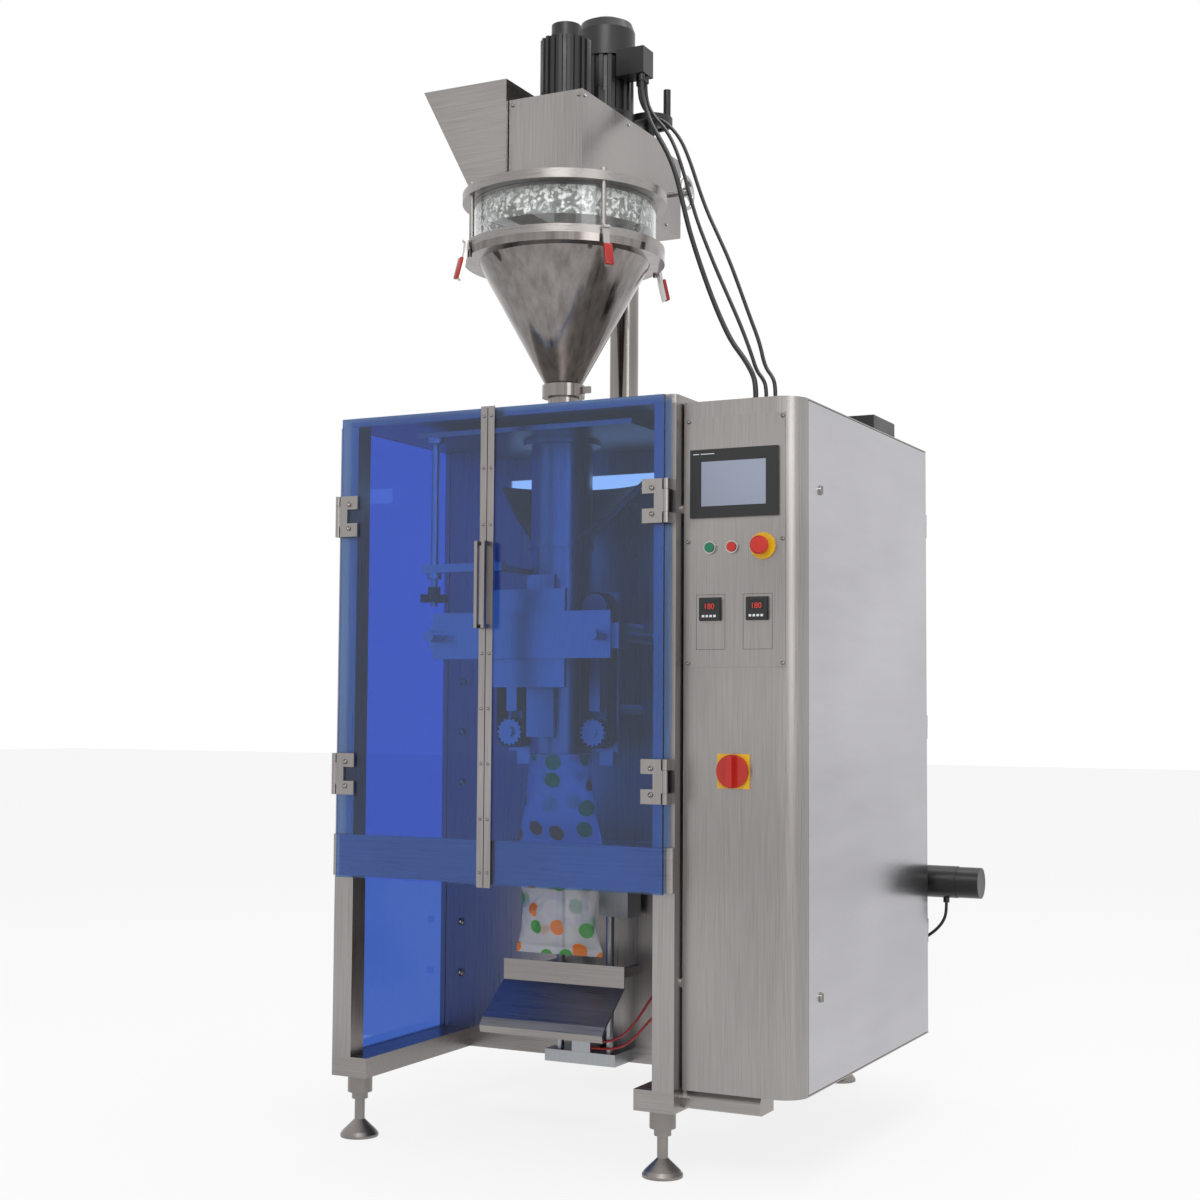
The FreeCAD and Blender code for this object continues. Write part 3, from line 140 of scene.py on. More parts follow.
def push_faces(piece, chosen, inset, depth):
    """Inset the faces that chosen picks by their middle and normal, and move them along it."""
    only(piece)
    bpy.ops.object.mode_set(mode="EDIT")
    bpy.context.tool_settings.mesh_select_mode = (False, False, True)
    mesh = bmesh.from_edit_mesh(piece.data)
    for face in mesh.faces:
        face.select_set(chosen(face.calc_center_median(), face.normal))
    bmesh.update_edit_mesh(piece.data)
    bpy.ops.mesh.inset(thickness=inset / 1000, depth=0)
    bpy.ops.mesh.extrude_region_shrink_fatten(
        TRANSFORM_OT_shrink_fatten={"value": -depth / 1000})
    bpy.ops.object.mode_set(mode="OBJECT")
    return piece


def copied(piece, name, matrix):
    twin = bpy.data.objects.new(name, piece.data.copy())
    bpy.context.collection.objects.link(twin)
    twin.data.transform(matrix)
    return twin


def joined(name, pieces):
    deselect()
    for piece in pieces:
        piece.select_set(True)
    bpy.context.view_layer.objects.active = pieces[0]
    bpy.ops.object.join()
    whole = bpy.context.object
    whole.name = name
    return whole


def put(piece, body, material):
    """Give the finished piece its material and the body it moves with."""
    piece.data.materials.clear()
    piece.data.materials.append(material)
    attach(piece, body)
    return piece


# ------------------------------------------------------------------ materials
def colour(code):
    """An sRGB hex value as linear light."""
    parts = [int(code[i:i + 2], 16) / 255 for i in (1, 3, 5)]
    return [c / 12.92 if c <= 0.04045 else ((c + 0.055) / 1.055) ** 2.4 for c in parts] + [1]


def add(material, kind, inputs, **settings):
    """Add a node: inputs are numbers, colours or other nodes' outputs."""
    tree = material.node_tree
    new = tree.nodes.new("ShaderNode" + kind)
    for key, value in settings.items():
        setattr(new, key, value)
    for key, value in inputs.items():
        if isinstance(value, bpy.types.NodeSocket):
            tree.links.new(value, new.inputs[key])
        else:
            new.inputs[key].default_value = value
    return new


def start(name, code, **inputs):
    """A material whose shader holds the plain values of the real one."""
    material = bpy.data.materials.new(name)
    material.use_nodes = True
    shader = material.node_tree.nodes["Principled BSDF"]
    shader.inputs["Base Color"].default_value = colour(code)
    for key, value in inputs.items():
        shader.inputs[key.replace("_", " ")].default_value = value
    material.diffuse_color = colour(code)
    return material, shader


def grained(name, light, dark, grain, low, high, depth=0.06, **inputs):
    """Sheet or bar with drawn grain: grain holds its length along X, Y and Z in millimetres. The
    light and dark tone follows the grain; on the hopper cone that tone is painted reflection.
    """
    material, shader = start(name, light, **inputs)
    link = material.node_tree.links.new
    place = add(material, "TexCoord", {})
    lines = add(material, "Mapping", {"Vector": place.outputs["Object"],
                                      "Scale": [1000 / g for g in grain]})
    fine = add(material, "TexNoise", {"Vector": lines.outputs["Vector"], "Scale": 1.0,
                                      "Detail": 3.0, "Roughness": 0.6})
    broad = add(material, "TexNoise", {"Vector": place.outputs["Object"], "Scale": 2.2,
                                       "Detail": 1.0})
    both = add(material, "Math", {0: fine.outputs["Fac"], 1: broad.outputs["Fac"]},
               operation="ADD")
    tone = add(material, "MapRange", {"Value": both.outputs["Value"], "From Min": 0.62,
                                      "From Max": 1.38})
    shades = add(material, "Mix", {"Factor": tone.outputs["Result"], "A": colour(dark),
                                   "B": colour(light)}, data_type="RGBA")
    link(shades.outputs[2], shader.inputs["Base Color"])
    sheen = add(material, "MapRange", {"Value": fine.outputs["Fac"], "From Min": 0.3,
                                       "From Max": 0.7, "To Min": low, "To Max": high})
    link(sheen.outputs["Result"], shader.inputs["Roughness"])
    if depth:
        bump = add(material, "Bump", {"Height": fine.outputs["Fac"], "Strength": depth,
                                      "Distance": 0.0006})
        link(bump.outputs["Normal"], shader.inputs["Normal"])
    return material


def mottled(name, light, dark, size, low, high, depth=0.1, **inputs):
    """Cast, moulded or painted surface with an even grit of the given size in millimetres."""
    material, shader = start(name, light, **inputs)
    link = material.node_tree.links.new
    place = add(material, "TexCoord", {})
    grit = add(material, "TexNoise", {"Vector": place.outputs["Object"], "Scale": 1000 / size,
                                      "Detail": 2.0})
    cloud = add(material, "TexNoise", {"Vector": place.outputs["Object"], "Scale": 9.0,
                                       "Detail": 2.0})
    shades = add(material, "Mix", {"Factor": cloud.outputs["Fac"], "A": colour(dark),
                                   "B": colour(light)}, data_type="RGBA")
    link(shades.outputs[2], shader.inputs["Base Color"])
    sheen = add(material, "MapRange", {"Value": cloud.outputs["Fac"], "From Min": 0.3,
                                       "From Max": 0.7, "To Min": low, "To Max": high})
    link(sheen.outputs["Result"], shader.inputs["Roughness"])
    bump = add(material, "Bump", {"Height": grit.outputs["Fac"], "Strength": depth,
                                  "Distance": 0.0008})
    link(bump.outputs["Normal"], shader.inputs["Normal"])
    return material


def clear_sheet(name, code, tint, smoke=0.02, **inputs):
    """Acrylic or film that lets light through: shadows take its tint and stay soft."""
    material, shader = start(name, code, Roughness=smoke, IOR=1.49, **inputs)
    shader.inputs["Transmission Weight"].default_value = 1.0
    tree = material.node_tree
    ray = add(material, "LightPath", {})
    veil = add(material, "BsdfTransparent", {"Color": colour(tint)})
    mix = add(material, "MixShader", {0: ray.outputs["Is Shadow Ray"],
                                      1: shader.outputs["BSDF"], 2: veil.outputs["BSDF"]})
    tree.links.new(mix.outputs["Shader"], tree.nodes["Material Output"].inputs["Surface"])
    return material


# Stainless sheet, number 4 finish: short grain lines run up the cabinet's front and the frame.
# The lines are really 0.3 mm wide and are drawn 3 mm wide, so that they show.
sheet_steel = grained("stainless_sheet_upright_grain", "#A6A2A0", "#8A8583", (3, 3, 160),
                      0.26, 0.42, Metallic=1.0)
# The same sheet with its grain across, on rails, plates and the top.
cross_steel = grained("stainless_sheet_level_grain", "#A5A19E", "#878280", (160, 12, 3),
                      0.26, 0.42, Metallic=1.0)
# Stainless side door, finer and brighter, with hardly any grain.
side_steel = grained("stainless_sheet_bright", "#B9B7BC", "#A6A4A9", (60, 400, 60), 0.20, 0.28,
                     depth=0, Metallic=1.0)
# Hopper cone: buffed stainless, nearly a mirror; its dark and light streaks down the slope are
# painted reflection.
buffed_steel_painted_reflection = grained("stainless_buffed_painted_reflection", "#A09A97", "#635E5B", (24, 24, 900), 0.09, 0.20,
                       depth=0.02, Metallic=1.0)
# Turned and polished steel: screws, bezels, handwheel rim, latches.
polished_steel = mottled("steel_polished", "#C4C1BE", "#A7A3A0", 2.0, 0.12, 0.24, depth=0.02,
                         Metallic=1.0)
# Nickel-plated cast feet, a little dull.
plated_steel = mottled("nickel_plated_steel", "#9A9591", "#716C69", 2.5, 0.25, 0.42,
                       depth=0.05, Metallic=1.0)
# Milled and anodised aluminium: even and satin.
milled_aluminium = grained("aluminium_anodised", "#B4B7BA", "#999CA0", (4, 4, 60), 0.30, 0.45,
                           depth=0.03, Metallic=1.0)
# Cast acrylic guards in clear blue, 7 mm thick.
blue_acrylic = clear_sheet("acrylic_cast_blue", "#86B4FA", "#5C8FF2")
# The guard on the closed side is a deeper blue.
deep_acrylic = clear_sheet("acrylic_cast_deep_blue", "#4468C4", "#24449C")
# Clear acrylic ring of the hopper.
clear_acrylic = clear_sheet("acrylic_clear_ring", "#EEF1F2", "#EEF1F2", smoke=0.05)
# Black cast-iron and aluminium motor housings in semi-gloss enamel.
motor_enamel = mottled("enamel_black_semi_gloss", "#1B1C1B", "#101110", 1.6, 0.28, 0.42)
# Black ABS of instruments and knobs, with its fine moulded grit.
black_abs = mottled("abs_black_moulded", "#1D1E20", "#141516", 1.2, 0.34, 0.5, depth=0.08)
# Glazed caps and knobs of push buttons: coloured, glossy.
red_cap = mottled("polycarbonate_red", "#C4261B", "#A51C14", 3.0, 0.22, 0.34, depth=0.03)
green_cap = mottled("polycarbonate_green", "#0F7A55", "#0B6446", 3.0, 0.22, 0.34, depth=0.03)
yellow_plate = mottled("laminate_yellow", "#E3B21C", "#D2A215", 2.0, 0.32, 0.45, depth=0.03)
# Latch handles dipped in red vinyl.
red_vinyl = mottled("vinyl_dipped_red", "#B81F1A", "#961712", 2.0, 0.30, 0.45, depth=0.06)
# Cable jackets and belts.
cable_jacket = mottled("pvc_black_jacket", "#17171A", "#0E0E10", 1.5, 0.35, 0.5)
belt_rubber = mottled("polyurethane_belt_black", "#202225", "#15171A", 1.5, 0.55, 0.75,
                      depth=0.2)
hose_red = mottled("polyurethane_hose_red", "#C0201A", "#A51713", 2.0, 0.25, 0.35, depth=0.02)
# Plain film wound on its core: milky, with a soft shine.
rolled_film = mottled("polypropylene_film_wound", "#E9ECEE", "#DCE0E3", 4.0, 0.22, 0.34,
                      depth=0.02)
# Liquid crystal screen, off: pale grey under a hard clear sheet.
screen_glass, _ = start("lcd_grey_under_hard_coat", "#8E96A8", Roughness=0.12)
dark_glass, _ = start("smoked_display_window", "#0A0B0D", Roughness=0.08)
white_print, _ = start("screen_print_white", "#D8DADC", Roughness=0.5)
red_digits, _ = start("led_digits_red", "#E0382A", Roughness=0.4)
engraving, _ = start("engraved_line_dark", "#4A4745", Roughness=0.6, Metallic=1.0)


FINISH = {
    "stainless": sheet_steel, "polished": buffed_steel_painted_reflection, "aluminium": milled_aluminium,
    "blue_acrylic": blue_acrylic, "dark_acrylic": deep_acrylic, "clear_acrylic": clear_acrylic,
    "black_plastic": black_abs, "black_paint": motor_enamel, "red_plastic": red_cap,
    "green_plastic": green_cap, "yellow_plastic": yellow_plate, "chrome": polished_steel,
    "belt_rubber": belt_rubber, "cable_rubber": cable_jacket, "hose_red": hose_red,
    "film": clear_acrylic, "zinc": plated_steel,
}
OWN = {"side_door": side_steel, "base_rails": cross_steel, "top_plate": cross_steel,
       "front_apron": cross_steel, "discharge_chute": cross_steel, "hopper_lid": cross_steel,
       "auger": polished_steel, "film_roll": rolled_film}
for entry in frame["record"]["subparts"]:
    cad = bpy.data.objects[entry["node"]]
    cad.data.materials.clear()
    cad.data.materials.append(OWN.get(entry["node"], FINISH[entry["material_slot"]]))


# ----------------------------------------------------------------------- cords
def route(name, points, radius):
    """The cord's own line: a smooth spline whose control points are its route."""
    shape = bpy.data.curves.new(name, "CURVE")
    shape.dimensions = "3D"
    line = shape.splines.new("NURBS")
    line.points.add(len(points) - 1)
    for knot, place in zip(line.points, points):
        knot.co = (*place, 1)
    line.order_u = 3
    line.use_endpoint_u = True
    line.resolution_u = 8
    shape.bevel_depth = 0
    piece = bpy.data.objects.new(name, shape)
    bpy.context.collection.objects.link(piece)
    bpy.context.view_layer.update()
    bare = bpy.data.meshes.new_from_object(piece)
    path = [v.co.copy() for v in bare.vertices]
    bpy.data.meshes.remove(bare)
    shape.bevel_depth = radius / 1000
    shape.bevel_resolution = 4
    shape.use_fill_caps = True
    return piece, path


FREE_CORDS = {
    "cable_main": [(-0.045, -0.1615, 2.5867), (-0.045, -0.1615, 2.56), (-0.033, -0.1705, 2.522),
                   (-0.009, -0.1875, 2.47), (0.025, -0.2115, 2.42), (0.065, -0.2385, 2.362),
                   (0.097, -0.2605, 2.298), (0.121, -0.2775, 2.226), (0.143, -0.2925, 2.16),
                   (0.171, -0.3125, 2.094), (0.201, -0.3325, 2.028), (0.233, -0.3555, 1.964),
                   (0.266, -0.3785, 1.904), (0.301, -0.4025, 1.848), (0.345, -0.433, 1.8),
                   (0.373, -0.4525, 1.7605), (0.383, -0.4595, 1.732), (0.383, -0.4595, 1.7043)],
    "cable_signal": [(-0.045, -0.1375, 2.5867), (-0.045, -0.1375, 2.562),
                     (-0.033, -0.1465, 2.524), (-0.005, -0.1665, 2.484), (0.039, -0.1975, 2.44),
                     (0.077, -0.2245, 2.382), (0.107, -0.2455, 2.316), (0.133, -0.2635, 2.246),
                     (0.161, -0.2825, 2.176), (0.197, -0.3085, 2.106), (0.235, -0.3345, 2.034),
                     (0.277, -0.3625, 1.96), (0.319, -0.3915, 1.886), (0.353, -0.4135, 1.816),
                     (0.371, -0.4255, 1.772), (0.395, -0.441, 1.747), (0.403, -0.4465, 1.725),
                     (0.403, -0.4465, 1.7043)],
    "cable_stirrer": [(-0.067, -0.1295, 2.5867), (-0.067, -0.1295, 2.562),
                      (-0.055, -0.1285, 2.527), (-0.023, -0.1435, 2.496),
                      (0.029, -0.1715, 2.466), (0.081, -0.2025, 2.41), (0.117, -0.2235, 2.34),
                      (0.147, -0.2425, 2.268), (0.179, -0.2635, 2.2), (0.219, -0.2915, 2.132),
                      (0.259, -0.3185, 2.062), (0.295, -0.3435, 1.988), (0.331, -0.3685, 1.912),
                      (0.367, -0.3965, 1.842), (0.387, -0.4155, 1.782), (0.415, -0.4345, 1.751),
                      (0.425, -0.4475, 1.726), (0.425, -0.4475, 1.7043)],
    "cable_film_motor": [(0.551, 0.4485, 0.5167), (0.551, 0.4485, 0.492), (0.543, 0.4485, 0.468),
                         (0.525, 0.4485, 0.446), (0.502, 0.4485, 0.428), (0.475, 0.4485, 0.413),
                         (0.448, 0.4485, 0.402), (0.4226, 0.4485, 0.394),
                         (0.3994, 0.4351, 0.388), (0.386, 0.4119, 0.385), (0.386, 0.3848, 0.385)],
    "air_hose_upper": [(-0.1447, -0.2095, 0.205), (-0.117, -0.2105, 0.205),
                       (-0.085, -0.2165, 0.212), (-0.05, -0.2245, 0.23),
                       (-0.017, -0.2295, 0.262), (0.008, -0.2275, 0.3), (0.029, -0.2185, 0.336),
                       (0.052, -0.1995, 0.366), (0.071, -0.1755, 0.384), (0.079, -0.1535, 0.391),
                       (0.079, -0.1338, 0.391)],
    "air_hose_lower": [(-0.1447, -0.2095, 0.189), (-0.117, -0.2105, 0.189),
                       (-0.081, -0.2165, 0.193), (-0.045, -0.2235, 0.206),
                       (-0.011, -0.2285, 0.234), (0.017, -0.2255, 0.268),
                       (0.045, -0.2155, 0.297), (0.075, -0.1965, 0.319), (0.097, -0.1725, 0.333),
                       (0.107, -0.1525, 0.339), (0.107, -0.1338, 0.339)],
}
RADII = {"cable_main": 6, "cable_signal": 4.5, "cable_stirrer": 4.5, "cable_film_motor": 4,
         "air_hose_upper": 3, "air_hose_lower": 3}
for name, points in FREE_CORDS.items():
    cord, path = route(name + "_jacket", points, RADII[name])
    jacket = hose_red if name.startswith("air") else cable_jacket
    upper = name in ("cable_main", "cable_signal", "cable_stirrer")
    if upper:
        only(cord)
        bpy.ops.object.convert(target="MESH")
        cord = bpy.context.object
        bpy.ops.object.shade_smooth_by_angle(angle=math.radians(60))
    if upper:
        cord.data.materials.clear()
        cord.data.materials.append(jacket)
        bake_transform(cord)
    else:
        put(cord, "frame", jacket)
    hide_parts(name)


# -------------------------------------------------------------- film and bag
def loft(name, rings):
    """A tube through rings of points, each ring a list of the same length."""
    skin = bmesh.new()
    rows = [[skin.verts.new(at(*spot)) for spot in ring] for ring in rings]
    count = len(rows[0])
    for low, high in zip(rows, rows[1:]):
        for i in range(count):
            j = (i + 1) % count
            skin.faces.new((low[i], low[j], high[j], high[i]))
    bmesh.ops.recalc_face_normals(skin, faces=skin.faces)
    mesh = bpy.data.meshes.new(name)
    skin.to_mesh(mesh)
    skin.free()
    mesh.polygons.foreach_set("use_smooth", [True] * len(mesh.polygons))
    piece = bpy.data.objects.new(name, mesh)
    bpy.context.collection.objects.link(piece)
    return piece


def film_ring(z, half_wide, half_deep, crumple):
    """One level of the film: an oval that flattens to a seam, with soft random creases."""
    ring = []
    for i in range(96):
        angle = 2 * math.pi * i / 96
        fold = noise.noise(Vector((math.cos(angle) * 2.4, math.sin(angle) * 2.4, z / 34)))
        fine = noise.noise(Vector((math.cos(angle) * 7, math.sin(angle) * 7, z / 13)))
        swell = 1 + crumple * (fold + 0.4 * fine)
        x = half_wide * math.cos(angle) * (1 + 0.15 * crumple * fold)
        y = half_deep * math.sin(angle) * swell + crumple * 5 * fold
        ring.append((AXIS_X + x, AXIS_Y + y, z))
    return ring


bag_low, bag_high = span("film_and_bag")
AXIS_X = (bag_low.x + bag_high.x) / 2
AXIS_Y = (bag_low.y + bag_high.y) / 2
tube_half = (bag_high.y - bag_low.y) / 2 - 0.5
seam_half = (bag_high.x - bag_low.x) / 2
JAW_TOP = span("jaw_front")[1].z + 4
JAW_FOOT = span("jaw_front")[0].z - 4
FLAT = 0.9
rings = []
for step in range(41):
    z = bag_high.z - 1 - (bag_high.z - 1 - JAW_TOP) * step / 40
    pinch = (step / 40) ** 1.5
    rings.append(film_ring(z, tube_half + (seam_half - tube_half) * pinch,
                           tube_half * (1 - pinch) + FLAT * pinch,
                           0.10 * (1 - pinch) + 0.25 * pinch * (1 - pinch)))
for step in range(1, 12):
    z = JAW_TOP - (JAW_TOP - JAW_FOOT) * step / 12
    rings.append(film_ring(z, seam_half, FLAT, 0.0))
for step in range(45):
    z = JAW_FOOT - (JAW_FOOT - bag_low.z - 1) * step / 44
    swell = math.sin(math.pi * step / 40) ** 0.7 if 0 < step < 40 else 0
    rings.append(film_ring(z, seam_half - 18 * swell, FLAT + 38 * swell, 0.24 * swell))
film = loft("film_tube_and_bag", rings)
only(film)
bpy.ops.object.modifier_add(type="SUBSURF")
film.modifiers[0].levels = 1
film.modifiers[0].render_levels = 1
bpy.ops.object.modifier_apply(modifier=film.modifiers[0].name)

# Printed polypropylene film: clear and glossy, with round orange and green spots of ink.
film_material, film_shader = start("polypropylene_film_printed", "#F4F6F8", Roughness=0.12,
                                   IOR=1.49)
place = add(film_material, "TexCoord", {})
spots = add(film_material, "TexVoronoi", {"Vector": place.outputs["Object"], "Scale": 17.0,
                                          "Randomness": 0.5})
ink = add(film_material, "MapRange", {"Value": spots.outputs["Distance"], "From Min": 0.34,
                                      "From Max": 0.36, "To Min": 1.0, "To Max": 0.0})
pick = add(film_material, "SeparateColor", {"Color": spots.outputs["Color"]})
which = add(film_material, "Math", {0: pick.outputs["Red"], 1: 0.5}, operation="GREATER_THAN")
tints = add(film_material, "Mix", {"Factor": which.outputs["Value"], "A": colour("#E0761C"),
                                   "B": colour("#3C9A3A")}, data_type="RGBA")
sheet = add(film_material, "Mix", {"Factor": ink.outputs["Result"], "A": colour("#F4F6F8"),
                                   "B": tints.outputs[2]}, data_type="RGBA")
cover = add(film_material, "MapRange", {"Value": ink.outputs["Result"], "To Min": 0.34,
                                        "To Max": 0.9})
film_tree = film_material.node_tree
film_tree.links.new(sheet.outputs[2], film_shader.inputs["Base Color"])
film_tree.links.new(cover.outputs["Result"], film_shader.inputs["Alpha"])
put(film, "frame", film_material)
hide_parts("film_and_bag")


# ------------------------------------------------------------ control panel
BUTTON_Z = (span("start_button")[0].z + span("start_button")[1].z) / 2
put(block("operator_screen", 45, 196, -9.6, -9.0, BUTTON_Z + 90, BUTTON_Z + 188, 0.2), "frame",
    screen_glass)
put(joined("screen_bezel_lines", [
    block("bezel_line_a", 26, 40, -10.15, -10.0, BUTTON_Z + 204, BUTTON_Z + 205.6, 0),
    block("bezel_line_b", 44, 76, -10.15, -10.0, BUTTON_Z + 204, BUTTON_Z + 205.6, 0)]),
    "frame", white_print)


def words(name, text, x, y, z, size, body, material):
    """Generic figures, 0.2 mm proud of their window."""
    deselect()
    bpy.ops.object.text_add(location=at(x, y, z), rotation=(QUARTER, 0, 0))
    piece = bpy.context.object
    piece.data.body = text
    piece.data.size = size / 1000
    piece.data.extrude = 0.0001
    piece.data.align_x = "CENTER"
    bpy.ops.object.convert(target="MESH")
    return put(settle(name), body, material)


for side, x in (("left", 41.0), ("right", 150.6)):
    top = BUTTON_Z - 110.3
    put(block("controller_rim_" + side, x - 1.5, x + 49.5, -4.0, -2.05, top - 49.5, top + 1.5),
        "frame", black_abs)
    put(block("controller_window_" + side, x + 6, x + 42, -11.4, -11.0, top - 26, top - 5, 0.15),
        "frame", dark_glass)
    words("controller_figures_" + side, "180", x + 24, -11.5, top - 24, 17, "frame",
          red_digits)
    keys = [block("controller_key_%s_%d" % (side, i), x + 7 + 9 * i, x + 13 + 9 * i, -11.8, -10.9,
                  top - 42, top - 37, 0.3) for i in range(4)]
    put(joined("controller_keys_" + side, keys), "frame", white_print)
    a, b, c, d = x - 10, x + 58, top - 112, top + 8
    lines = [block("line_0", a, b, -2.15, -2.0, d - 0.8, d, 0),
             block("line_1", a, b, -2.15, -2.0, c, c + 0.8, 0),
             block("line_2", a, a + 0.8, -2.15, -2.0, c, d, 0),
             block("line_3", b - 0.8, b, -2.15, -2.0, c, d, 0)]
    put(joined("controller_frame_line_" + side, lines), "frame", engraving)

# ------------------------------------------------------------------ fasteners
screw = barrel("screw_pattern", "y", 0, 0, 0, 4.0, 2.4, 0.5, 20)
screw_mid = at(0, 0, 0)
push_faces(screw, lambda centre, normal: normal.y < -0.9, 1.6, 1.0)


def screws(name, body, places, turn=None, size=1.0):
    """Copies of one screw, its head facing the front, or turned about the vertical."""
    made = []
    for i, (x, y, z) in enumerate(places):
        matrix = (Matrix.Translation(at(x, y, z)) @ (turn or Matrix()) @ Matrix.Scale(size, 4)
                  @ Matrix.Translation(-screw_mid))
        made.append(copied(screw, "%s_%d" % (name, i), matrix))
    return put(joined(name, made), body, polished_steel)


screws("panel_plate_screws", "frame",
       [(x, -3.1, z) for x in (12, 232) for z in (BUTTON_Z + 279, BUTTON_Z + 14, BUTTON_Z - 252)])
STRIP_HALF, STRIP_THICK = 8.5, 3   # the meeting strip on each door
LEAF_HALF = 26                     # from the door's edge to a hinge leaf's screws
for side in ("left", "right"):
    sheet_low, sheet_high = span("door_%s_panel" % side)
    strip = sheet_high.x - STRIP_HALF if side == "left" else sheet_low.x + STRIP_HALF
    front = sheet_low.y - STRIP_THICK
    screws("door_%s_strip_screws" % side, "door_" + side,
           [(strip, front - 0.9, z) for z in (640, 760, 885, 1010, 1135, 1430, 1560, 1680)],
           size=0.8)
    edge = sheet_low.x + LEAF_HALF if side == "left" else sheet_high.x - LEAF_HALF
    screws("door_%s_hinge_screws" % side, "door_" + side,
           [(edge, sheet_low.y - 6.9, z + a) for z in (806, 1416) for a in (20, 77)], size=1.3)
case_low, case_high = span("gearbox_case")
sideways = Matrix.Rotation(QUARTER, 4, "Z")
screws("case_front_screws", "filler_head",
       [(x, case_low.y - 0.9, z) for x in (case_low.x + 10, case_high.x - 10)
        for z in (case_low.z + 16, case_high.z - 14)])
screws("case_side_screws", "filler_head",
       [(case_high.x + 0.9, y, z) for y in (case_low.y + 12, case_low.y + 250, case_low.y + 480)
        for z in (case_low.z + 16, case_high.z - 14)], sideways)
back_low, _ = span("back_plate")
screws("back_plate_bolts", "frame",
       [(back_low.x + 66, back_low.y - 0.9, z) for z in (330, 460, 590, 820, 950, 1080, 1210)],
       size=2.2)
bpy.data.objects.remove(screw)

# -------------------------------------------------------------- latch handles
lid_low, lid_high = span("hopper_cylinder")
hub_x, hub_y = (lid_low.x + lid_high.x) / 2, (lid_low.y + lid_high.y) / 2
FIRST_LATCH = -40  # degrees round the hopper from the machine's right
GRIP_REACH = 272   # the red grip's middle, out from the hopper's axis
GRIP_Z = 2058
GRIP_LEAN = -14
for k in range(4):
    angle = math.radians(FIRST_LATCH + 90 * k)
    grip = block("latch_grip_%d" % (k + 1), -4.5, 4.5, -11, 11, -27, 27, 3.2)
    seat = at(hub_x + GRIP_REACH * math.cos(angle), hub_y + GRIP_REACH * math.sin(angle), GRIP_Z)
    lean = (Matrix.Translation(seat) @ Matrix.Rotation(angle, 4, "Z")
            @ Matrix.Rotation(math.radians(GRIP_LEAN), 4, "Y")
            @ Matrix.Translation(-at(0, 0, 0)))
    grip.data.transform(lean)
    put(grip, "latch_%d" % (k + 1), red_vinyl)

# ------------------------------------------------------------- powder in hopper
powder = mottled("milled_powder_off_white", "#F1EFE9", "#DFDBD2", 3.0, 0.85, 0.95, depth=0.5)
heap = []
for step, (reach, z) in enumerate(((207, 2112), (206, 2136), (170, 2145), (120, 2153), (60, 2158),
                                   (22, 2160))):
    heap.append([(hub_x + (reach + 3 * math.sin(5 * a + step)) * math.cos(a),
                  hub_y + (reach + 3 * math.sin(5 * a + step)) * math.sin(a),
                  z + 5 * noise.noise(Vector((math.cos(a) * 3, math.sin(a) * 3, step))))
                 for a in (2 * math.pi * i / 72 for i in range(72))])
put(loft("powder_heap", heap), "filler_head", powder)

# Fine powder that clings to the inside of the clear ring, thickest at its top.
dust, dust_shader = start("clinging_powder", "#F3F1EC", Roughness=0.9)
place = add(dust, "TexCoord", {})
fleck = add(dust, "TexNoise", {"Vector": place.outputs["Object"], "Scale": 95.0, "Detail": 4.0})
height = add(dust, "SeparateXYZ", {"Vector": place.outputs["Object"]})
rise = add(dust, "MapRange", {"Value": height.outputs["Z"], "From Min": lid_low.z / 1000,
                              "From Max": lid_high.z / 1000, "To Min": -0.10, "To Max": 0.06})
amount = add(dust, "Math", {0: fleck.outputs["Fac"], 1: rise.outputs["Result"]}, operation="ADD")
veil = add(dust, "MapRange", {"Value": amount.outputs["Value"], "From Min": 0.46,
                              "From Max": 0.60, "To Min": 0.10, "To Max": 0.85})
dust.node_tree.links.new(veil.outputs["Result"], dust_shader.inputs["Alpha"])
inner = (lid_high.x - lid_low.x) / 2 - 6.5
band = [[(hub_x + r * math.cos(2 * math.pi * i / 96), hub_y + r * math.sin(2 * math.pi * i / 96), z)
         for i in range(96)]
        for r, z in ((inner, 2162), (inner, lid_high.z - 8), (inner - 0.5, lid_high.z - 8),
                     (inner - 0.5, 2162), (inner, 2162))]
put(loft("clinging_powder", band), "filler_head", dust)


# ------------------------------------------------------------- camera and light
floor_material, floor_shader = start("studio_floor_white", "#F2F2F2", Roughness=0.9)
floor_tree = floor_material.node_tree
ray = add(floor_material, "LightPath", {})
seen = add(floor_material, "Math", {0: ray.outputs["Is Camera Ray"],
                                    1: ray.outputs["Is Glossy Ray"]}, operation="ADD")
seen = add(floor_material, "Math", {0: seen.outputs["Value"],
                                    1: ray.outputs["Is Transmission Ray"]}, operation="ADD")
share = add(floor_material, "MapRange", {"Value": seen.outputs["Value"], "To Max": 0.82})
white = add(floor_material, "Emission", {"Color": (1, 1, 1, 1), "Strength": 1.0})
mix = add(floor_material, "MixShader", {0: share.outputs["Result"],
                                        1: floor_shader.outputs["BSDF"],
                                        2: white.outputs["Emission"]})
floor_tree.links.new(mix.outputs["Shader"], floor_tree.nodes["Material Output"].inputs["Surface"])
deselect()
bpy.ops.mesh.primitive_plane_add(size=60, location=(0, 0, -0.0005))
ground = bpy.context.object
ground.name = "studio_floor"
ground.data.materials.append(floor_material)

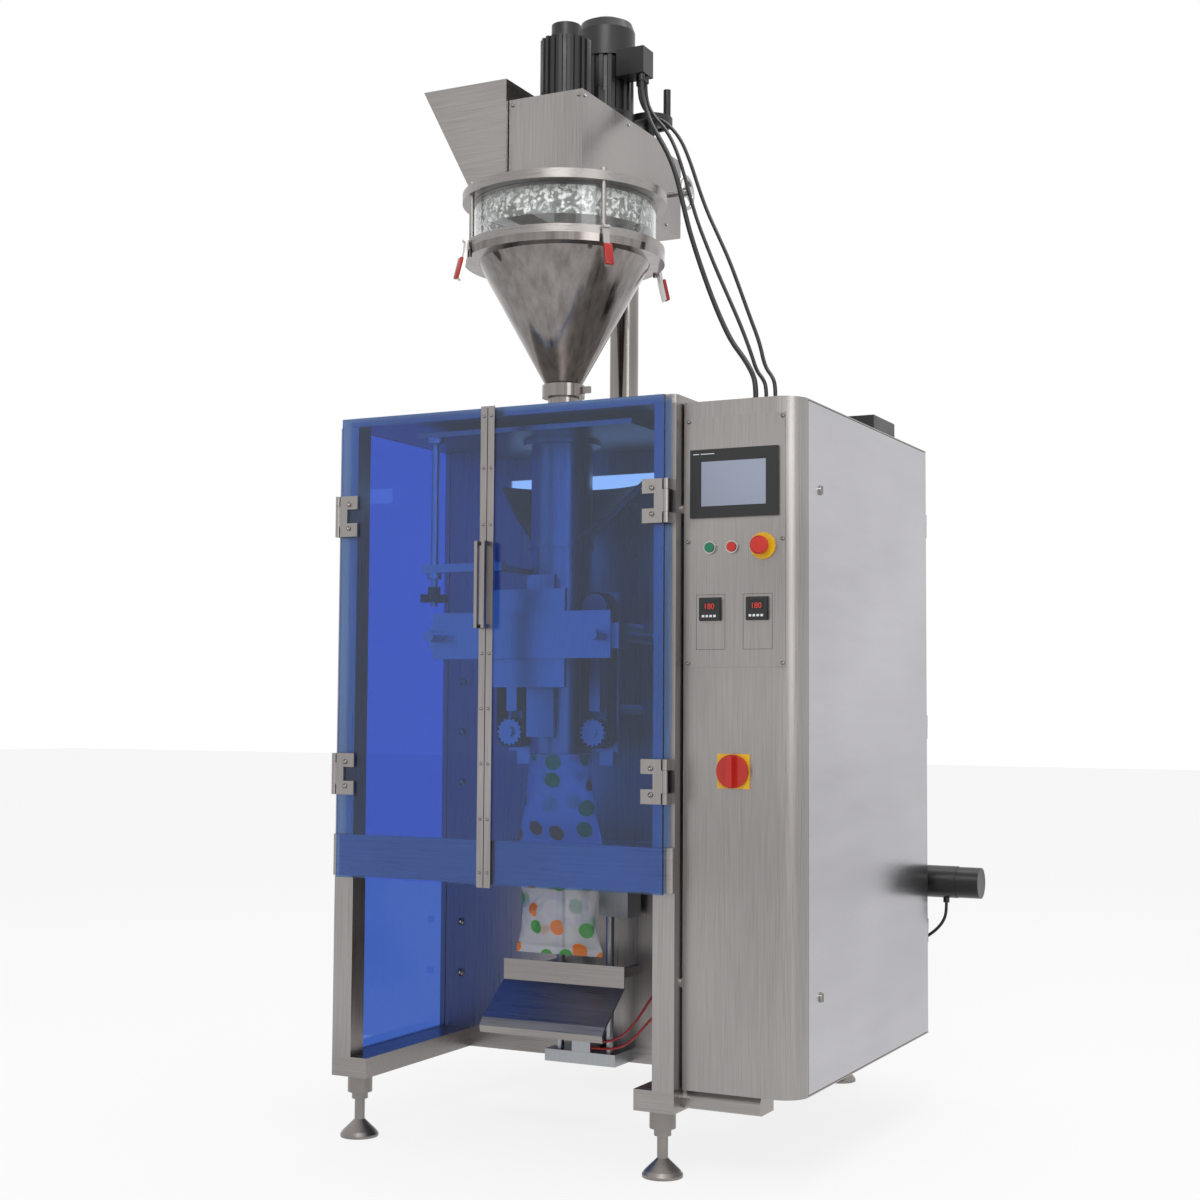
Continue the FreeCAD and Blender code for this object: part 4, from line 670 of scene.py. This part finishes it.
world = bpy.data.worlds.new("studio")
bpy.context.scene.world = world
world.use_nodes = True
sky = world.node_tree.nodes["Background"]
sky.inputs["Color"].default_value = (1, 1, 1, 1)
look = world.node_tree.nodes.new("ShaderNodeLightPath")
total = None
for outlet in ("Is Camera Ray", "Is Glossy Ray", "Is Transmission Ray"):
    if total is None:
        total = look.outputs[outlet]
        continue
    both = world.node_tree.nodes.new("ShaderNodeMath")
    both.operation = "MAXIMUM"
    world.node_tree.links.new(total, both.inputs[0])
    world.node_tree.links.new(look.outputs[outlet], both.inputs[1])
    total = both.outputs[0]
level = world.node_tree.nodes.new("ShaderNodeMapRange")
level.inputs["To Min"].default_value = 0.62
level.inputs["To Max"].default_value = 1.0
world.node_tree.links.new(total, level.inputs["Value"])
world.node_tree.links.new(level.outputs["Result"], sky.inputs["Strength"])


def softbox(name, place, aim, power, size):
    lamp = bpy.data.lights.new(name, "AREA")
    lamp.energy = power
    lamp.shape = "RECTANGLE"
    lamp.size, lamp.size_y = size
    holder = bpy.data.objects.new(name, lamp)
    holder.location = place
    holder.rotation_euler = (Vector(aim) - Vector(place)).to_track_quat("-Z", "Y").to_euler()
    bpy.context.collection.objects.link(holder)


softbox("key_softbox", (1.6, -4.9, 5.0), (0, 0, 1.2), 110, (2.4, 2.0))
softbox("fill_softbox", (4.8, -3.4, 2.6), (0.2, 0, 1.2), 45, (2.0, 3.0))
softbox("top_softbox", (0.3, 0.6, 5.2), (0, 0, 1.0), 60, (2.5, 2.5))

lens = bpy.data.cameras.new("camera")
lens.sensor_width = 36
lens.lens = 53.9
camera = bpy.data.objects.new("camera", lens)
bpy.context.collection.objects.link(camera)
camera.matrix_world = (Matrix.Translation((1.86481, -4.15263, 1.0066))
                       @ Matrix.Rotation(math.radians(26.82), 4, "Z")
                       @ Matrix.Rotation(math.radians(93.53), 4, "X")
                       @ Matrix.Rotation(math.radians(0.37), 4, "Z"))
bpy.context.scene.camera = camera
bpy.context.scene.view_settings.view_transform = "Standard"
